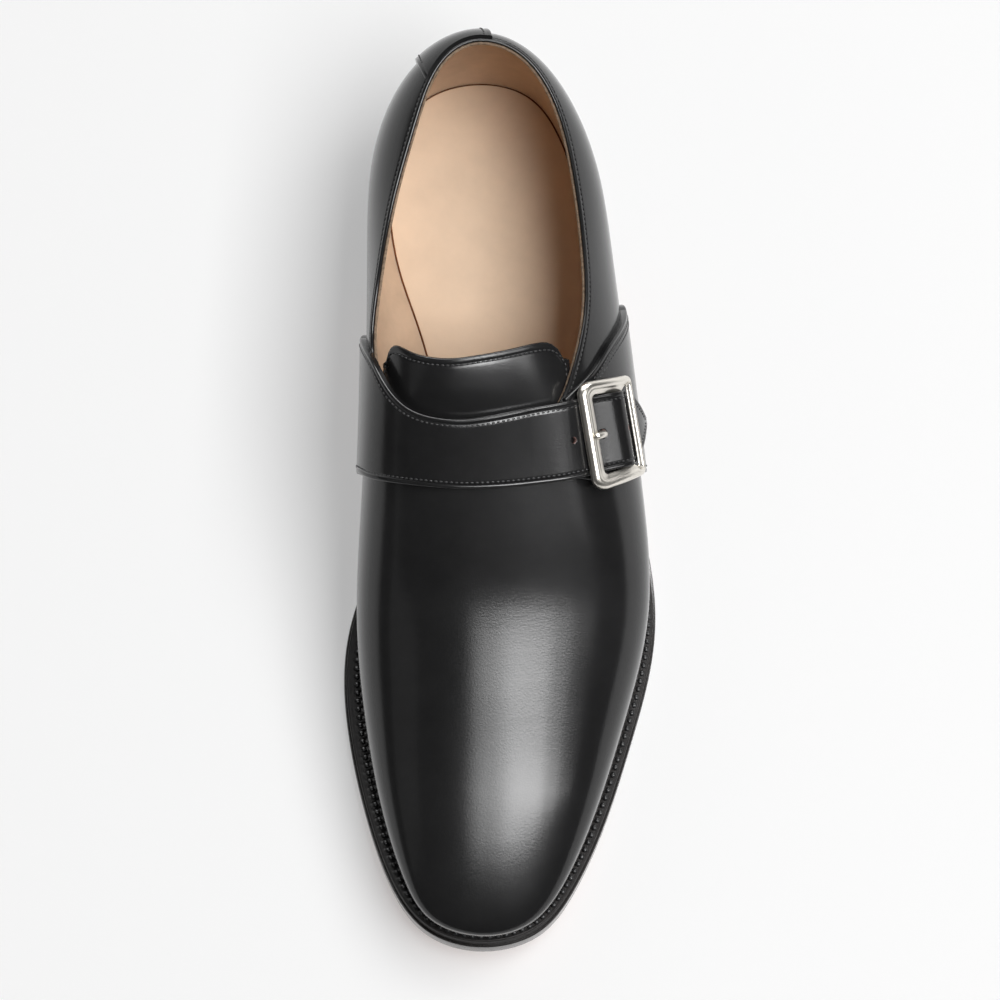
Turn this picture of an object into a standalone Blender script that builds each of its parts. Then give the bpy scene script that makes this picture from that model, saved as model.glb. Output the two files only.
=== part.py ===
"""Single monk strap shoe, left foot, standing empty on its leather sole.

All sizes below are millimetres. +X is the outer (buckle) side, -X the inner side, +Y the heel,
-Y the toe and +Z up. The floor is z = 0. Objects are built in metres, with the origin under the
middle of the shoe.

The upper is one surface over the last. A "turn" is an angle round the last in degrees: 0 at the
back of the heel, 90 at the outer waist, 180 at the toe tip and 270 at the inner waist. A rib climbs
from the welt at its turn, over the widest line of the last, to the crest along the top of the foot.
"""
import bmesh
import bpy
import numpy as np

MM = 0.001

# Driving dimensions
HEEL_END = 151.0          # back of the sole
TOE_END = -151.0          # tip of the sole
LAST_BACK = 151.0         # back of the heel counter, widest line
LAST_TIP = -148.5         # tip of the toe, widest line
HEEL_POLE = 106.0         # where the heel's ribs meet the crest
TOE_POLE = -102.0         # where the toe's ribs meet the crest
OUTSOLE = 5.0             # outsole thickness
WELT = 2.8                # welt and rand thickness
WELT_INSET = 0.9          # welt edge inside the outsole edge
INSOLE = 3.4              # insole with its sock
WALL = 2.2                # upper leather with its lining
OVERLAY = 1.9             # strap, tab and back strap leather
TONGUE = 2.0              # tongue leather with its lining
GAP = 0.3                 # room between neighbouring pieces
LIFT = 6.0                # thickness of the heel's lowest lift
HEEL_TAPER = 1.6          # heel bottom inside the heel seat
FLAT_FRONT = -66.0        # flat tread spot under the ball
FLAT_BACK = -44.0
HEEL_SEAT = 68.0          # the seat is a plane from here to the back
SEAT_HEIGHT = 19.8        # outsole's underside at the front of the heel seat
SEAT_SLOPE = 0.05         # rise of the heel seat towards the back
TOE_SPRING = 12.5         # outsole's underside at the toe tip
SPRING_POWER = 1.8        # curve of the toe spring
THROAT = 90.0             # turn at which the collar meets the crest, under the strap
TOE_CAP_POWER = 2.1       # roundness of the toe's profile
HEEL_CAP_POWER = 3.0      # roundness of the heel's back curve
FOOT_POWER = 2.3          # roundness between the widest line and the welt
FOOT_REACH = 0.86         # share of that curve which is used

COLUMNS = ("sole_in", "sole_out", "last_in", "last_out", "rise_in", "rise_out",
           "power_in", "power_out", "seat")
# One row every 15 degrees of turn, heel to toe. sole and last: edge across the shoe, inner and outer
# side. rise: widest line above the welt. power: roundness of the wall above it. seat: the upper's
# foot inside the sole's edge.
SECTIONS = (
    (-6.5, -6.5, -6.5, -6.5, 26.0, 26.0, 2.2, 2.2, 3.5),
    (-26.5, 12.5, -24.0, 10.8, 25.5, 25.0, 2.1, 2.1, 3.5),
    (-39.1, 24.8, -36.8, 24.2, 25.0, 23.0, 2.0, 2.0, 3.5),
    (-43.5, 32.4, -43.6, 33.6, 25.0, 20.0, 2.0, 1.9, 3.5),
    (-39.6, 35.6, -44.6, 38.5, 26.0, 18.0, 2.2, 1.85, 4.0),
    (-30.0, 37.1, -44.8, 43.2, 30.0, 20.0, 2.8, 1.85, 5.0),
    (-36.8, 47.3, -46.1, 47.9, 30.0, 24.0, 2.6, 2.0, 6.0),
    (-50.9, 52.6, -48.0, 49.9, 24.0, 22.5, 2.3, 2.2, 6.5),
    (-51.2, 45.2, -45.3, 42.2, 19.5, 19.0, 2.3, 2.3, 7.0),
    (-44.4, 35.4, -39.6, 32.5, 17.0, 17.0, 2.4, 2.4, 7.0),
    (-35.7, 24.8, -32.2, 22.5, 14.5, 14.5, 2.4, 2.4, 7.0),
    (-23.5, 12.6, -22.3, 11.2, 12.5, 12.5, 2.4, 2.4, 7.0),
    (-5.5, -5.5, -5.0, -5.0, 12.0, 12.0, 2.4, 2.4, 7.0),
)

# Crest of the foot from toe to heel: place along the shoe, place across it and height. Behind the
# throat it is the roof that the quarters lean towards.
CREST = (
    (-148.0, -4.8, 41.0),
    (-104.0, -4.2, 47.0),
    (-75.0, -4.4, 54.0),
    (-50.0, -5.0, 60.7),
    (-38.0, -5.4, 64.5),
    (-25.0, -6.0, 69.7),
    (0.0, -7.2, 80.0),
    (16.0, -7.8, 87.0),
    (32.0, -8.0, 93.5),
    (50.0, -7.4, 97.0),
    (80.0, -6.0, 94.0),
    (121.0, -5.0, 93.0),
    (153.0, -6.0, 102.0),
)
TIP_SLOPE = 0.1           # rise of the crest at the toe tip
BACK_SLOPE = 0.3          # and at the back

# Collar edge: turn, and how far up the rib it lies (0 widest line, 1 crest), inner and outer side.
COLLAR = (
    (0.0, 0.36, 0.36),
    (15.0, 0.43, 0.36),
    (30.0, 0.505, 0.385),
    (45.0, 0.475, 0.425),
    (60.0, 0.34, 0.43),
    (67.5, 0.252, 0.462),
    (75.0, 0.22, 0.55),
    (79.0, 0.34, 0.61),
    (83.0, 0.54, 0.70),
    (87.0, 0.86, 0.87),
    (90.0, 1.0, 1.0),
)
THROAT_SLOPE = 0.045      # climb for each degree where the collar meets the crest

# Underside of the outsole between the flat tread spot and the heel seat: place and height.
SHANK = (
    (-44.0, 0.0),
    (-20.0, 1.7),
    (10.0, 6.8),
    (40.0, 13.6),
    (68.0, 19.8),
)

# Steps of the meshes
TURNS = 96                # columns round the shoe
FINE_SPAN = 11.25         # degrees beside the throat with finer columns
FINE_STEP = 1.25
WALL_ROWS = 9             # rows between the widest line and the collar or crest
FOOT_ROWS = (-0.75, -0.5, -0.25, 0.0)
HEEL_STEPS = 25
BREAST_STEPS = 9
WELT_STEPS = 61
RAND_STEPS = 25
STRAP_STEPS = 42
TIP_STEPS = 7
TAB_STEPS = 16
BAND_COLUMNS = 7
BACK_COLUMNS = 7
TONGUE_ROWS = 11
TONGUE_COLUMNS = 15
CORNER_STEPS = 6
SIDE_STEPS = 5
ROD_SIDES = 10
SHARP_ANGLE = 40.0        # degrees between faces that stay sharp
FACET = 0.2               # room for the facets of a curved wall
EDGE_STEP = 0.5           # degrees either side, for the direction of the sole's edge
RIB_STEP = 0.4            # degrees either side, for the direction across a rib
BAND_STEP = 0.2           # millimetres either side, for the direction across a band
CLIMB_STEP = 0.004        # either side, for the direction along a rib or band
RIB_REACH = 0.985         # ends of the stretch where those directions are taken
BAND_REACH = 1.49

# Sole and heel
EDGE_BEVEL = 0.8          # rounding of the outsole's lower edge
BREAST_OUT = 57.9         # turn of the heel breast, outer side
BREAST_IN = 61.2          # and inner side, measured the other way
BREAST_HOLLOW = 4.2       # hollow of the breast
JOINT = 0.15              # room between the ends of welt and rand, in degrees
DOVETAIL = ((29.0, 119.0), (8.8, 125.5), (9.6, 114.7), (-18.8, 124.5), (-11.0, 132.2), (-31.0, 141.0))

# Strap and tab: place across the shoe, then their rear and front edges along it
STRAP = (
    (-1.42, 56.5, 9.6),
    (-1.0, 50.0, 5.5),
    (-0.84, 43.5, 2.5),
    (-0.69, 36.0, -0.6),
    (-0.55, 26.5, -2.8),
    (-0.40, 19.0, -4.6),
    (-0.20, 15.0, -6.4),
    (0.0, 14.8, -6.9),
    (0.2, 18.3, -5.3),
    (0.42, 23.3, -1.2),
    (0.60, 27.5, 3.3),
    (0.70, 29.6, 5.6),
)
TAB = (
    (0.36, 22.5, -2.2),
    (0.45, 29.0, -2.2),
    (0.505, 33.0, -1.6),
    (0.615, 42.0, 0.4),
    (0.73, 49.5, 2.8),
    (0.865, 56.5, 5.2),
    (1.0, 62.0, 7.5),
    (1.42, 67.5, 11.5),
)
STRAP_TIP = (0.95, 23.0)  # place across and along of the strap's point
TIP_BLUNT = 1.2           # half width of the point
TIP_POWER = 1.15          # roundness of the point's sides
LAP_RAMP = (0.2, 0.36)    # where the strap climbs onto the tab
STRAP_LEAN = 27.0         # along the shoe for each step across, at the buckle
STRAP_HUMP = 3.7          # strap over the centre bar
HUMP_HALF = 8.0
HOLES = (-15.0, -3.7, 6.7)
STRAP_HOLE = 1.1
PRONG_HOLE = 1.6
HOLE_REACH = 6.0

# Buckle
BUCKLE_Y = 14.4
BUCKLE_ACROSS = 0.56
BUCKLE_ARCH = 42.3        # radius of the frame's arch
FRAME_HALF = (9.5, 15.5)  # middle line of the frame, along the strap and along the bar
FRAME_CORNER = 3.6
FRAME_LOW = 4.95          # frame above the upper
# Section of the frame's wire: place outwards and height
FRAME_SECTION = ((-2.1, 0.4), (-2.1, 1.6), (-1.2, 2.7), (0.0, 3.0),
                 (1.2, 2.7), (2.1, 1.6), (2.1, 0.4), (0.0, 0.0))
BAR_HEIGHT = 4.5
BAR_RADIUS = 0.8
TAB_FOLD = 0.9            # leather folded round the bar
FOLD_HALF = 4.5
FOLD_WIDTH = 12.0
PRONG = ((-3.4, 4.4), (-3.6, 5.8), (-4.0, 7.4), (-5.2, 8.6), (-7.2, 9.1), (-10.2, 9.0))
PRONG_RADIUS = 0.75

# Back strap and tongue
BACK_STRAP = 1.4          # back strap leather
BACK_TURN = -9.0          # its middle line
BACK_HALF_TOP = 12.5      # half width in degrees, at the collar
BACK_HALF_LOW = 6.5       # and at the heel seat
BACK_FOOT = -0.97
TONGUE_FOOT = -14.0       # tongue's lower end under the vamp
TONGUE_TOP = 33.0         # top edge at the middle
TONGUE_DIP = 10.0         # corners further back than the middle
TONGUE_CORNER = 8.0       # rounding of the corners
CORNER_POWER = 8          # and how suddenly it starts
TONGUE_FLARE = 0.7        # share of its length over which it widens
TONGUE_MIDDLE = -0.14
TONGUE_HALF = (0.38, 0.58)  # half width across, at the foot and at the top
TONGUE_CROWN = 1.6        # crown in the open throat
CROWN_HALF = 0.6
CROWN_RAMP = (8.0, 24.0)
CENTRE = (-0.07, 0.81)    # middle of the shoe in plan


def spline(table, column, start_slope, end_slope):
    """Smooth curve through a column of a table over its first column; returns a function."""
    x = np.array([row[0] for row in table], float)
    y = np.array([row[column] for row in table], float)
    step = np.diff(x)
    rate = np.diff(y) / step
    size = len(x)
    matrix = np.zeros((size, size))
    right = np.zeros(size)
    matrix[0, 0] = matrix[-1, -1] = 1.0
    right[0], right[-1] = start_slope, end_slope
    for i in range(1, size - 1):
        matrix[i, i - 1:i + 2] = step[i], 2 * (step[i - 1] + step[i]), step[i - 1]
        right[i] = 3 * (step[i] * rate[i - 1] + step[i - 1] * rate[i])
    slope = np.linalg.solve(matrix, right)

    def curve(place):
        place = np.clip(place, x[0], x[-1])
        i = np.clip(np.searchsorted(x, place, side="right") - 1, 0, size - 2)
        t = (place - x[i]) / step[i]
        bend_a = slope[i] * step[i] - (y[i + 1] - y[i])
        bend_b = (y[i + 1] - y[i]) - slope[i + 1] * step[i]
        return (1 - t) * y[i] + t * y[i + 1] + t * (1 - t) * ((1 - t) * bend_a + t * bend_b)
    return curve


def closed_spline(values):
    """Smooth closed curve through evenly spaced values round the last; returns a function of turn."""
    v = np.array(values, float)
    size = len(v)
    matrix = 4 * np.eye(size) + np.roll(np.eye(size), 1, 0) + np.roll(np.eye(size), -1, 0)
    bend = np.linalg.solve(matrix, np.roll(v, 1) - 2 * v + np.roll(v, -1))

    def curve(turn):
        s = np.asarray(turn, float) / 360 * size
        i = np.floor(s).astype(int)
        t = s - i
        a, b = i % size, (i + 1) % size
        return ((1 - t) * v[a] + t * v[b]
                + ((1 - t) ** 3 - (1 - t)) * bend[a] + (t ** 3 - t) * bend[b])
    return curve


def ring_of(inner, outer):
    """Values round the last from the inner and outer columns of the sections."""
    rows = [dict(zip(COLUMNS, row)) for row in SECTIONS]
    return closed_spline([row[outer] for row in rows] + [row[inner] for row in rows[-2:0:-1]])


SOLE_X = ring_of("sole_in", "sole_out")
LAST_X = ring_of("last_in", "last_out")
RISE = ring_of("rise_in", "rise_out")
POWER = ring_of("power_in", "power_out")
SEAT = ring_of("seat", "seat")
CREST_X = spline(CREST, 1, 0.0, 0.0)
CREST_Z = spline(CREST, 2, TIP_SLOPE, BACK_SLOPE)
SHANK_Z = spline(SHANK, 1, 0.0, SEAT_SLOPE)
COLLAR_IN = spline(COLLAR, 1, 0.0, THROAT_SLOPE)
COLLAR_OUT = spline(COLLAR, 2, 0.0, THROAT_SLOPE)


def sole_y(turn):
    """Place along the shoe of the sole's edge."""
    return (HEEL_END + TOE_END) / 2 + (HEEL_END - TOE_END) / 2 * np.cos(np.radians(turn))


def last_y(turn):
    """Place along the shoe of the last's widest line."""
    return (LAST_BACK + LAST_TIP) / 2 + (LAST_BACK - LAST_TIP) / 2 * np.cos(np.radians(turn))


def tread(y):
    """Height of the outsole's underside."""
    spring = np.clip((FLAT_FRONT - y) / (FLAT_FRONT - TOE_END), 0, None)
    seat = SEAT_HEIGHT + SEAT_SLOPE * (y - HEEL_SEAT)
    rear = np.where(y > HEEL_SEAT, seat, SHANK_Z(y))
    return np.where(y < FLAT_BACK, TOE_SPRING * spring ** SPRING_POWER, rear)


def welt_top(y):
    """Height of the welt's upper face."""
    return tread(y) + OUTSOLE + GAP + WELT


def sole_edge(turn, inset=0.0):
    """Point of the sole's outline, moved inwards by the inset."""
    turn = np.asarray(turn, float)
    dx = SOLE_X(turn + EDGE_STEP) - SOLE_X(turn - EDGE_STEP)
    dy = sole_y(turn + EDGE_STEP) - sole_y(turn - EDGE_STEP)
    length = np.hypot(dx, dy)
    return SOLE_X(turn) + inset * dy / length, sole_y(turn) - inset * dx / length


def cap(y):
    """Share of the crest's height that is left towards the toe tip and the heel's back."""
    toe = np.clip((TOE_POLE - y) / (TOE_POLE - LAST_TIP), 0, 1)
    heel = np.clip((y - HEEL_POLE) / (LAST_BACK - HEEL_POLE), 0, 1)
    toe_share = (1 - toe ** TOE_CAP_POWER) ** (1 / TOE_CAP_POWER)
    return toe_share * (1 - heel ** HEEL_CAP_POWER) ** (1 / HEEL_CAP_POWER)


def turn_at(y):
    """Turn of the widest line at a place along the shoe, on the outer side."""
    middle = (LAST_BACK + LAST_TIP) / 2
    return np.degrees(np.arccos(np.clip((y - middle) / (LAST_BACK - middle), -1, 1)))


def wide_z(turn):
    """Height of the widest line."""
    return welt_top(last_y(turn)) + RISE(turn)


def roof(x, y):
    """Height of the upper's outer face above the widest line."""
    across = x - CREST_X(y)
    turn = np.where(across >= 0, turn_at(y), 360 - turn_at(y))
    share = np.clip(np.abs(across) / np.abs(LAST_X(turn) - CREST_X(y)), 0, 1)
    power = POWER(turn)
    base = wide_z(turn)
    return base + (CREST_Z(y) - base) * cap(y) * (1 - share ** power) ** (1 / power)


def foot(turn, drop):
    """Point between the widest line (drop 0) and the welt (drop 1)."""
    x, y = sole_edge(turn, SEAT(turn))
    curve = [1 - (1 - (FOOT_REACH * d) ** FOOT_POWER) ** (1 / FOOT_POWER) for d in (drop, 1.0)]
    share = curve[0] / curve[1]
    top = wide_z(turn)
    return (LAST_X(turn) + (x - LAST_X(turn)) * share,
            last_y(turn) + (y - last_y(turn)) * share,
            top + (welt_top(y) + GAP - top) * drop)


def rib(turn, climb):
    """Point of the upper's outer face: climb -1 at the welt, 0 at the widest line, 1 on the crest."""
    turn, climb = np.broadcast_arrays(np.asarray(turn, float), np.asarray(climb, float))
    low = foot(turn, np.clip(-climb, 0, 1))
    share = 1 - np.cos(np.radians(90 * np.clip(climb, 0, 1)))
    pole = (HEEL_POLE + TOE_POLE) / 2 + (HEEL_POLE - TOE_POLE) / 2 * np.cos(np.radians(turn))
    x = LAST_X(turn) + (CREST_X(pole) - LAST_X(turn)) * share
    y = last_y(turn) + (pole - last_y(turn)) * share
    high = (x, y, roof(x, y))
    return np.stack([np.where(climb < 0, a, b) for a, b in zip(low, high)], -1)


def band(y, across):
    """Point of the outer face on the section at y: across -1.5 inner welt, 0 crest, 1.5 outer welt."""
    y, across = np.broadcast_arrays(np.asarray(y, float), np.asarray(across, float))
    turn = np.where(across >= 0, turn_at(y), 360 - turn_at(y))
    low = foot(turn, np.clip(2 * (np.abs(across) - 1), 0, 1))
    share = np.sin(np.radians(90 * np.clip(np.abs(across), 0, 1)))
    x = CREST_X(y) + (LAST_X(turn) - CREST_X(y)) * share
    high = (x, y, roof(x, y))
    return np.stack([np.where(np.abs(across) > 1, a, b) for a, b in zip(low, high)], -1)


def raised(surface, a, b, height):
    """Points of a surface moved out along its normal by a height."""
    a, b = np.broadcast_arrays(np.asarray(a, float), np.asarray(b, float))
    step_a = BAND_STEP if surface is band else RIB_STEP
    reach = BAND_REACH if surface is band else RIB_REACH
    safe = np.clip(b, -reach, reach)
    along = surface(a + step_a, safe) - surface(a - step_a, safe)
    over = surface(a, safe + CLIMB_STEP) - surface(a, safe - CLIMB_STEP)
    normal = np.cross(over, along)
    normal /= np.linalg.norm(normal, axis=-1, keepdims=True)
    return surface(a, b) + normal * np.asarray(height)[..., None]


def on_sole(turn, inset, height):
    """Points inside the sole's edge at a height above the outsole's underside."""
    x, y = sole_edge(turn, inset)
    return np.stack([x, y, tread(y) + height], -1)


def smooth_step(value, start, end):
    """0 before start, 1 after end, with a soft change between."""
    t = np.clip((value - start) / (end - start), 0, 1)
    return t * t * (3 - 2 * t)


def soft_bump(value):
    """1 at 0, falling softly to 0 at -1 and 1."""
    return np.cos(np.clip(value, -1, 1) * np.pi / 2) ** 2


# Places of the buckle: its middle, and the strap's direction there
BUCKLE = band(BUCKLE_Y, BUCKLE_ACROSS)
BUCKLE_OUT = raised(band, BUCKLE_Y, BUCKLE_ACROSS, 1.0) - BUCKLE
STRAP_WAY = band(BUCKLE_Y + 1.0, BUCKLE_ACROSS + 1.0 / STRAP_LEAN) - BUCKLE
STRAP_WAY -= BUCKLE_OUT * STRAP_WAY.dot(BUCKLE_OUT)
STRAP_WAY /= np.linalg.norm(STRAP_WAY)
BAR_WAY = np.cross(BUCKLE_OUT, STRAP_WAY)


def buckle_point(a, b, height):
    """Point at a along the strap and b along the bar from the buckle's middle, on its arch."""
    angle = a / BUCKLE_ARCH
    radius = BUCKLE_ARCH + height
    return (BUCKLE + STRAP_WAY * (radius * np.sin(angle)) + BAR_WAY * b
            + BUCKLE_OUT * (radius * np.cos(angle) - BUCKLE_ARCH))


def surface_of(name, colour, roughness, metallic=0.0):
    """Plain surface for a piece."""
    material = bpy.data.materials.new(name)
    material.use_nodes = True
    shader = material.node_tree.nodes["Principled BSDF"]
    shader.inputs["Base Color"].default_value = (*colour, 1.0)
    shader.inputs["Roughness"].default_value = roughness
    shader.inputs["Metallic"].default_value = metallic
    return material


def finish(name, bm, material):
    """Turn a bmesh in millimetres into a named object."""
    bmesh.ops.recalc_face_normals(bm, faces=bm.faces)
    bmesh.ops.scale(bm, vec=(MM, MM, MM), verts=bm.verts)
    mesh = bpy.data.meshes.new(name)
    bm.to_mesh(mesh)
    bm.free()
    mesh.shade_smooth()
    mesh.set_sharp_from_angle(angle=np.radians(SHARP_ANGLE))
    mesh.materials.append(material)
    thing = bpy.data.objects.new(name, mesh)
    bpy.context.collection.objects.link(thing)
    return thing


def cutter(name, bm, material):
    """A shape that only cuts or joins another piece."""
    thing = finish(name, bm, material)
    thing.hide_render = True
    thing.display_type = "WIRE"
    return thing


def combine(thing, other, operation):
    """Boolean of a piece with a cutter."""
    change = thing.modifiers.new(operation.title(), "BOOLEAN")
    change.operation = operation
    change.object = other
    change.solver = "EXACT"


def points(bm, coordinates):
    """New vertices for a row of points."""
    return [bm.verts.new(p) for p in coordinates]


def ladder(bm, loop):
    """Close a loop, whose two sides run heel to toe, with strips across."""
    size = len(loop)
    for i in range(size // 2):
        corners = [loop[i], loop[i + 1], loop[size - i - 1], loop[-i]]
        bm.faces.new(list(dict.fromkeys(corners)))


def walls(bm, loops, closed):
    """Quads between each loop and the next."""
    count = len(loops[0])
    for low, high in zip(loops, loops[1:]):
        for i in range(count if closed else count - 1):
            j = (i + 1) % count
            bm.faces.new((low[i], low[j], high[j], high[i]))


def plate(name, rings, material):
    """Solid between stacked rings round the sole, closed with strips across."""
    bm = bmesh.new()
    loops = [points(bm, ring) for ring in rings]
    walls(bm, loops, True)
    ladder(bm, loops[0])
    ladder(bm, loops[-1])
    return finish(name, bm, material)


def block(bm, rings):
    """Solid between two flat rings with as many points."""
    loops = [points(bm, ring) for ring in rings]
    walls(bm, loops, True)
    bm.faces.new(loops[0])
    bm.faces.new(loops[-1])


def strip(bm, sections):
    """Solid through a row of closed sections, capped at both ends."""
    loops = [points(bm, section) for section in sections]
    walls(bm, loops, True)
    bm.faces.new(loops[0])
    bm.faces.new(loops[-1])


def shell(name, inner, outer, material):
    """Solid between two sheets of rows by columns of points."""
    bm = bmesh.new()
    rows, columns = inner.shape[:2]
    sheets = [[points(bm, row) for row in sheet] for sheet in (inner, outer)]
    for sheet in sheets:
        walls(bm, sheet, False)
    border = ([(0, j) for j in range(columns)]
              + [(i, columns - 1) for i in range(1, rows)]
              + [(rows - 1, j) for j in range(columns - 2, -1, -1)]
              + [(i, 0) for i in range(rows - 2, 0, -1)])
    rims = [[sheet[i][j] for i, j in border] for sheet in sheets]
    walls(bm, rims, True)
    return finish(name, bm, material)


def tube(bm, path, radius, side):
    """Round rod along a path that bends in the plane square to side."""
    path = np.array(path)
    ways = np.gradient(path, axis=0)
    sections = []
    for place, way in zip(path, ways):
        up = np.cross(way, side)
        up /= np.linalg.norm(up)
        angles = np.arange(ROD_SIDES) * 2 * np.pi / ROD_SIDES
        sections.append([place + radius * (np.cos(t) * side + np.sin(t) * up) for t in angles])
    strip(bm, sections)


def full_turn():
    """Turns round the shoe, evenly spaced, the same on both sides."""
    return np.arange(TURNS) * 360 / TURNS


def upper_turns():
    """Turns of the upper's columns: even steps, with finer ones beside the throat."""
    fine = np.arange(THROAT - FINE_SPAN, THROAT, FINE_STEP)
    return np.unique(np.concatenate([full_turn(), fine, 360 - fine]))


def build_outsole(material):
    """Leather outsole with toe spring, flat tread, arch and heel seat."""
    turn = full_turn()
    corners = ((EDGE_BEVEL, 0.0), (0.0, EDGE_BEVEL), (0.0, OUTSOLE))
    return plate("outsole", [on_sole(turn, inset, height) for inset, height in corners], material)


def build_insole(material):
    """Insole that closes the upper from below."""
    turn = full_turn()
    inset = SEAT(turn) + WALL + GAP
    rings = [on_sole(turn, inset, OUTSOLE + GAP), on_sole(turn, inset, OUTSOLE + GAP + INSOLE)]
    return plate("insole", rings, material)


def build_edge_strip(name, start, end, count, material):
    """Welt or rand: a strip on the outsole between two turns, against the upper's foot."""
    bm = bmesh.new()
    low, high = OUTSOLE + GAP, OUTSOLE + GAP + WELT
    sections = []
    for turn in np.linspace(start, end, count):
        inner = SEAT(turn) - GAP
        corners = ((inner, low), (WELT_INSET, low), (WELT_INSET, high), (inner, high))
        sections.append([on_sole(turn, inset, height) for inset, height in corners])
    strip(bm, sections)
    return finish(name, bm, material)


def heel_outline(inset):
    """Plan of the heel: round the back between the ends of the breast, then along the breast."""
    back = [sole_edge(turn, inset) for turn in np.linspace(BREAST_OUT, -BREAST_IN, HEEL_STEPS)]
    (x_in, y_in), (x_out, y_out) = back[-1], back[0]
    breast = []
    for share in np.linspace(0, 1, BREAST_STEPS)[1:-1]:
        hollow = BREAST_HOLLOW * 4 * share * (1 - share)
        breast.append((x_in + (x_out - x_in) * share, y_in + (y_out - y_in) * share + hollow))
    return back + breast


def build_heel_stack(material):
    """Stacked leather block between the heel seat and the lowest lift."""
    bm = bmesh.new()
    low = [(x, y, LIFT + GAP) for x, y in heel_outline(HEEL_TAPER)]
    high = [(x, y, SEAT_HEIGHT + SEAT_SLOPE * (y - HEEL_SEAT) - GAP) for x, y in heel_outline(0.0)]
    block(bm, (low, high))
    return finish("heel_stack", bm, material)


def build_lift(name, material):
    """Lowest lift of the heel before it is split into leather and rubber."""
    bm = bmesh.new()
    outline = heel_outline(HEEL_TAPER)
    block(bm, ([(x, y, 0.0) for x, y in outline], [(x, y, LIFT) for x, y in outline]))
    return finish(name, bm, material)


def dovetail(name, grow, material):
    """Cutter behind the dovetailed line across the lift, grown towards the breast."""
    line = np.array(DOVETAIL)
    ways = np.diff(line, axis=0)
    sides = np.stack([ways[:, 1], -ways[:, 0]], -1) / np.linalg.norm(ways, axis=1)[:, None]
    corners = []
    for i, corner in enumerate(line):
        before, after = sides[max(i - 1, 0)], sides[min(i, len(sides) - 1)]
        corners.append(corner - grow * (before + after) / (1 + before.dot(after)))
    far = HEEL_END + LIFT
    outline = corners + [np.array([-far, corners[-1][1]]), np.array([-far, far]),
                         np.array([far, far]), np.array([far, corners[0][1]])]
    bm = bmesh.new()
    block(bm, [[(x, y, z) for x, y in outline] for z in (-LIFT, 2 * LIFT)])
    return cutter(name, bm, material)


def upper_sheet(depth):
    """Rows by turns of points of the upper, at a depth inside its outer face."""
    turn = upper_turns()
    side = np.minimum(turn, 360 - turn)
    collar = np.where(turn <= 180, COLLAR_OUT(side), COLLAR_IN(side))
    top = np.where(side < THROAT, collar, 1.0)
    inset = SEAT(turn) + depth
    rows = [on_sole(turn, inset, OUTSOLE + GAP), on_sole(turn, inset, OUTSOLE + GAP + WELT + GAP)]
    deep = np.full(len(turn), -depth)
    rows += [raised(rib, turn, climb, deep) for climb in FOOT_ROWS]
    rows += [raised(rib, turn, top * row / WALL_ROWS, deep) for row in range(1, WALL_ROWS + 1)]
    crest = rows[-1]
    closed = side >= THROAT
    crest[closed] = (crest[closed] + crest[-np.arange(len(turn))[closed]]) / 2
    return np.array(rows)


def build_upper(material):
    """Vamp and quarters: one wall over the last, open at the collar and underneath."""
    bm = bmesh.new()
    turn = upper_turns()
    count = len(turn)
    throat = int(np.searchsorted(turn, THROAT))
    sheets = []
    for depth in (0.0, WALL):
        rows = upper_sheet(depth)
        sheet = [points(bm, row) for row in rows[:-1]]
        crest = points(bm, rows[-1][:count // 2 + 1])
        mirror = [crest[count - j] if j <= count - throat else bm.verts.new(rows[-1][j])
                  for j in range(count // 2 + 1, count)]
        sheet.append(crest + mirror)
        walls(bm, sheet, True)
        sheets.append(sheet)
    walls(bm, [sheet[0] for sheet in sheets], True)
    collar = list(range(count - throat, count)) + list(range(throat + 1))
    walls(bm, [[sheet[-1][j] for j in collar] for sheet in sheets], False)
    return finish("upper", bm, material)


def build_back_strap(material):
    """Strip over the centre-back seam, narrower towards the heel seat."""
    low = np.array((BACK_FOOT,) + FOOT_ROWS)
    high = np.arange(1, WALL_ROWS + 1) / WALL_ROWS
    rows = np.linspace(0, 1, len(low) + len(high))[:, None]
    columns = np.linspace(-1, 1, BACK_COLUMNS)[None, :]
    turn = BACK_TURN + (BACK_HALF_LOW + (BACK_HALF_TOP - BACK_HALF_LOW) * rows ** 2) * columns
    collar = np.where(turn > 0, COLLAR_OUT(np.abs(turn)), COLLAR_IN(np.abs(turn)))
    climb = np.concatenate([low[:, None] + 0 * columns, high[:, None] * collar[len(low):]])
    inner, outer = [raised(rib, turn, climb, np.full(turn.shape, height))
                    for height in (GAP, GAP + BACK_STRAP)]
    return shell("back_strap", inner, outer, material)


def edges_of(table):
    """Rear and front edge of a band as functions of the place across."""
    curves = []
    for column in (1, 2):
        slopes = [(b[column] - a[column]) / (b[0] - a[0]) for a, b in zip(table, table[1:])]
        curves.append(spline(table, column, slopes[0], slopes[-1]))
    return curves


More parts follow.
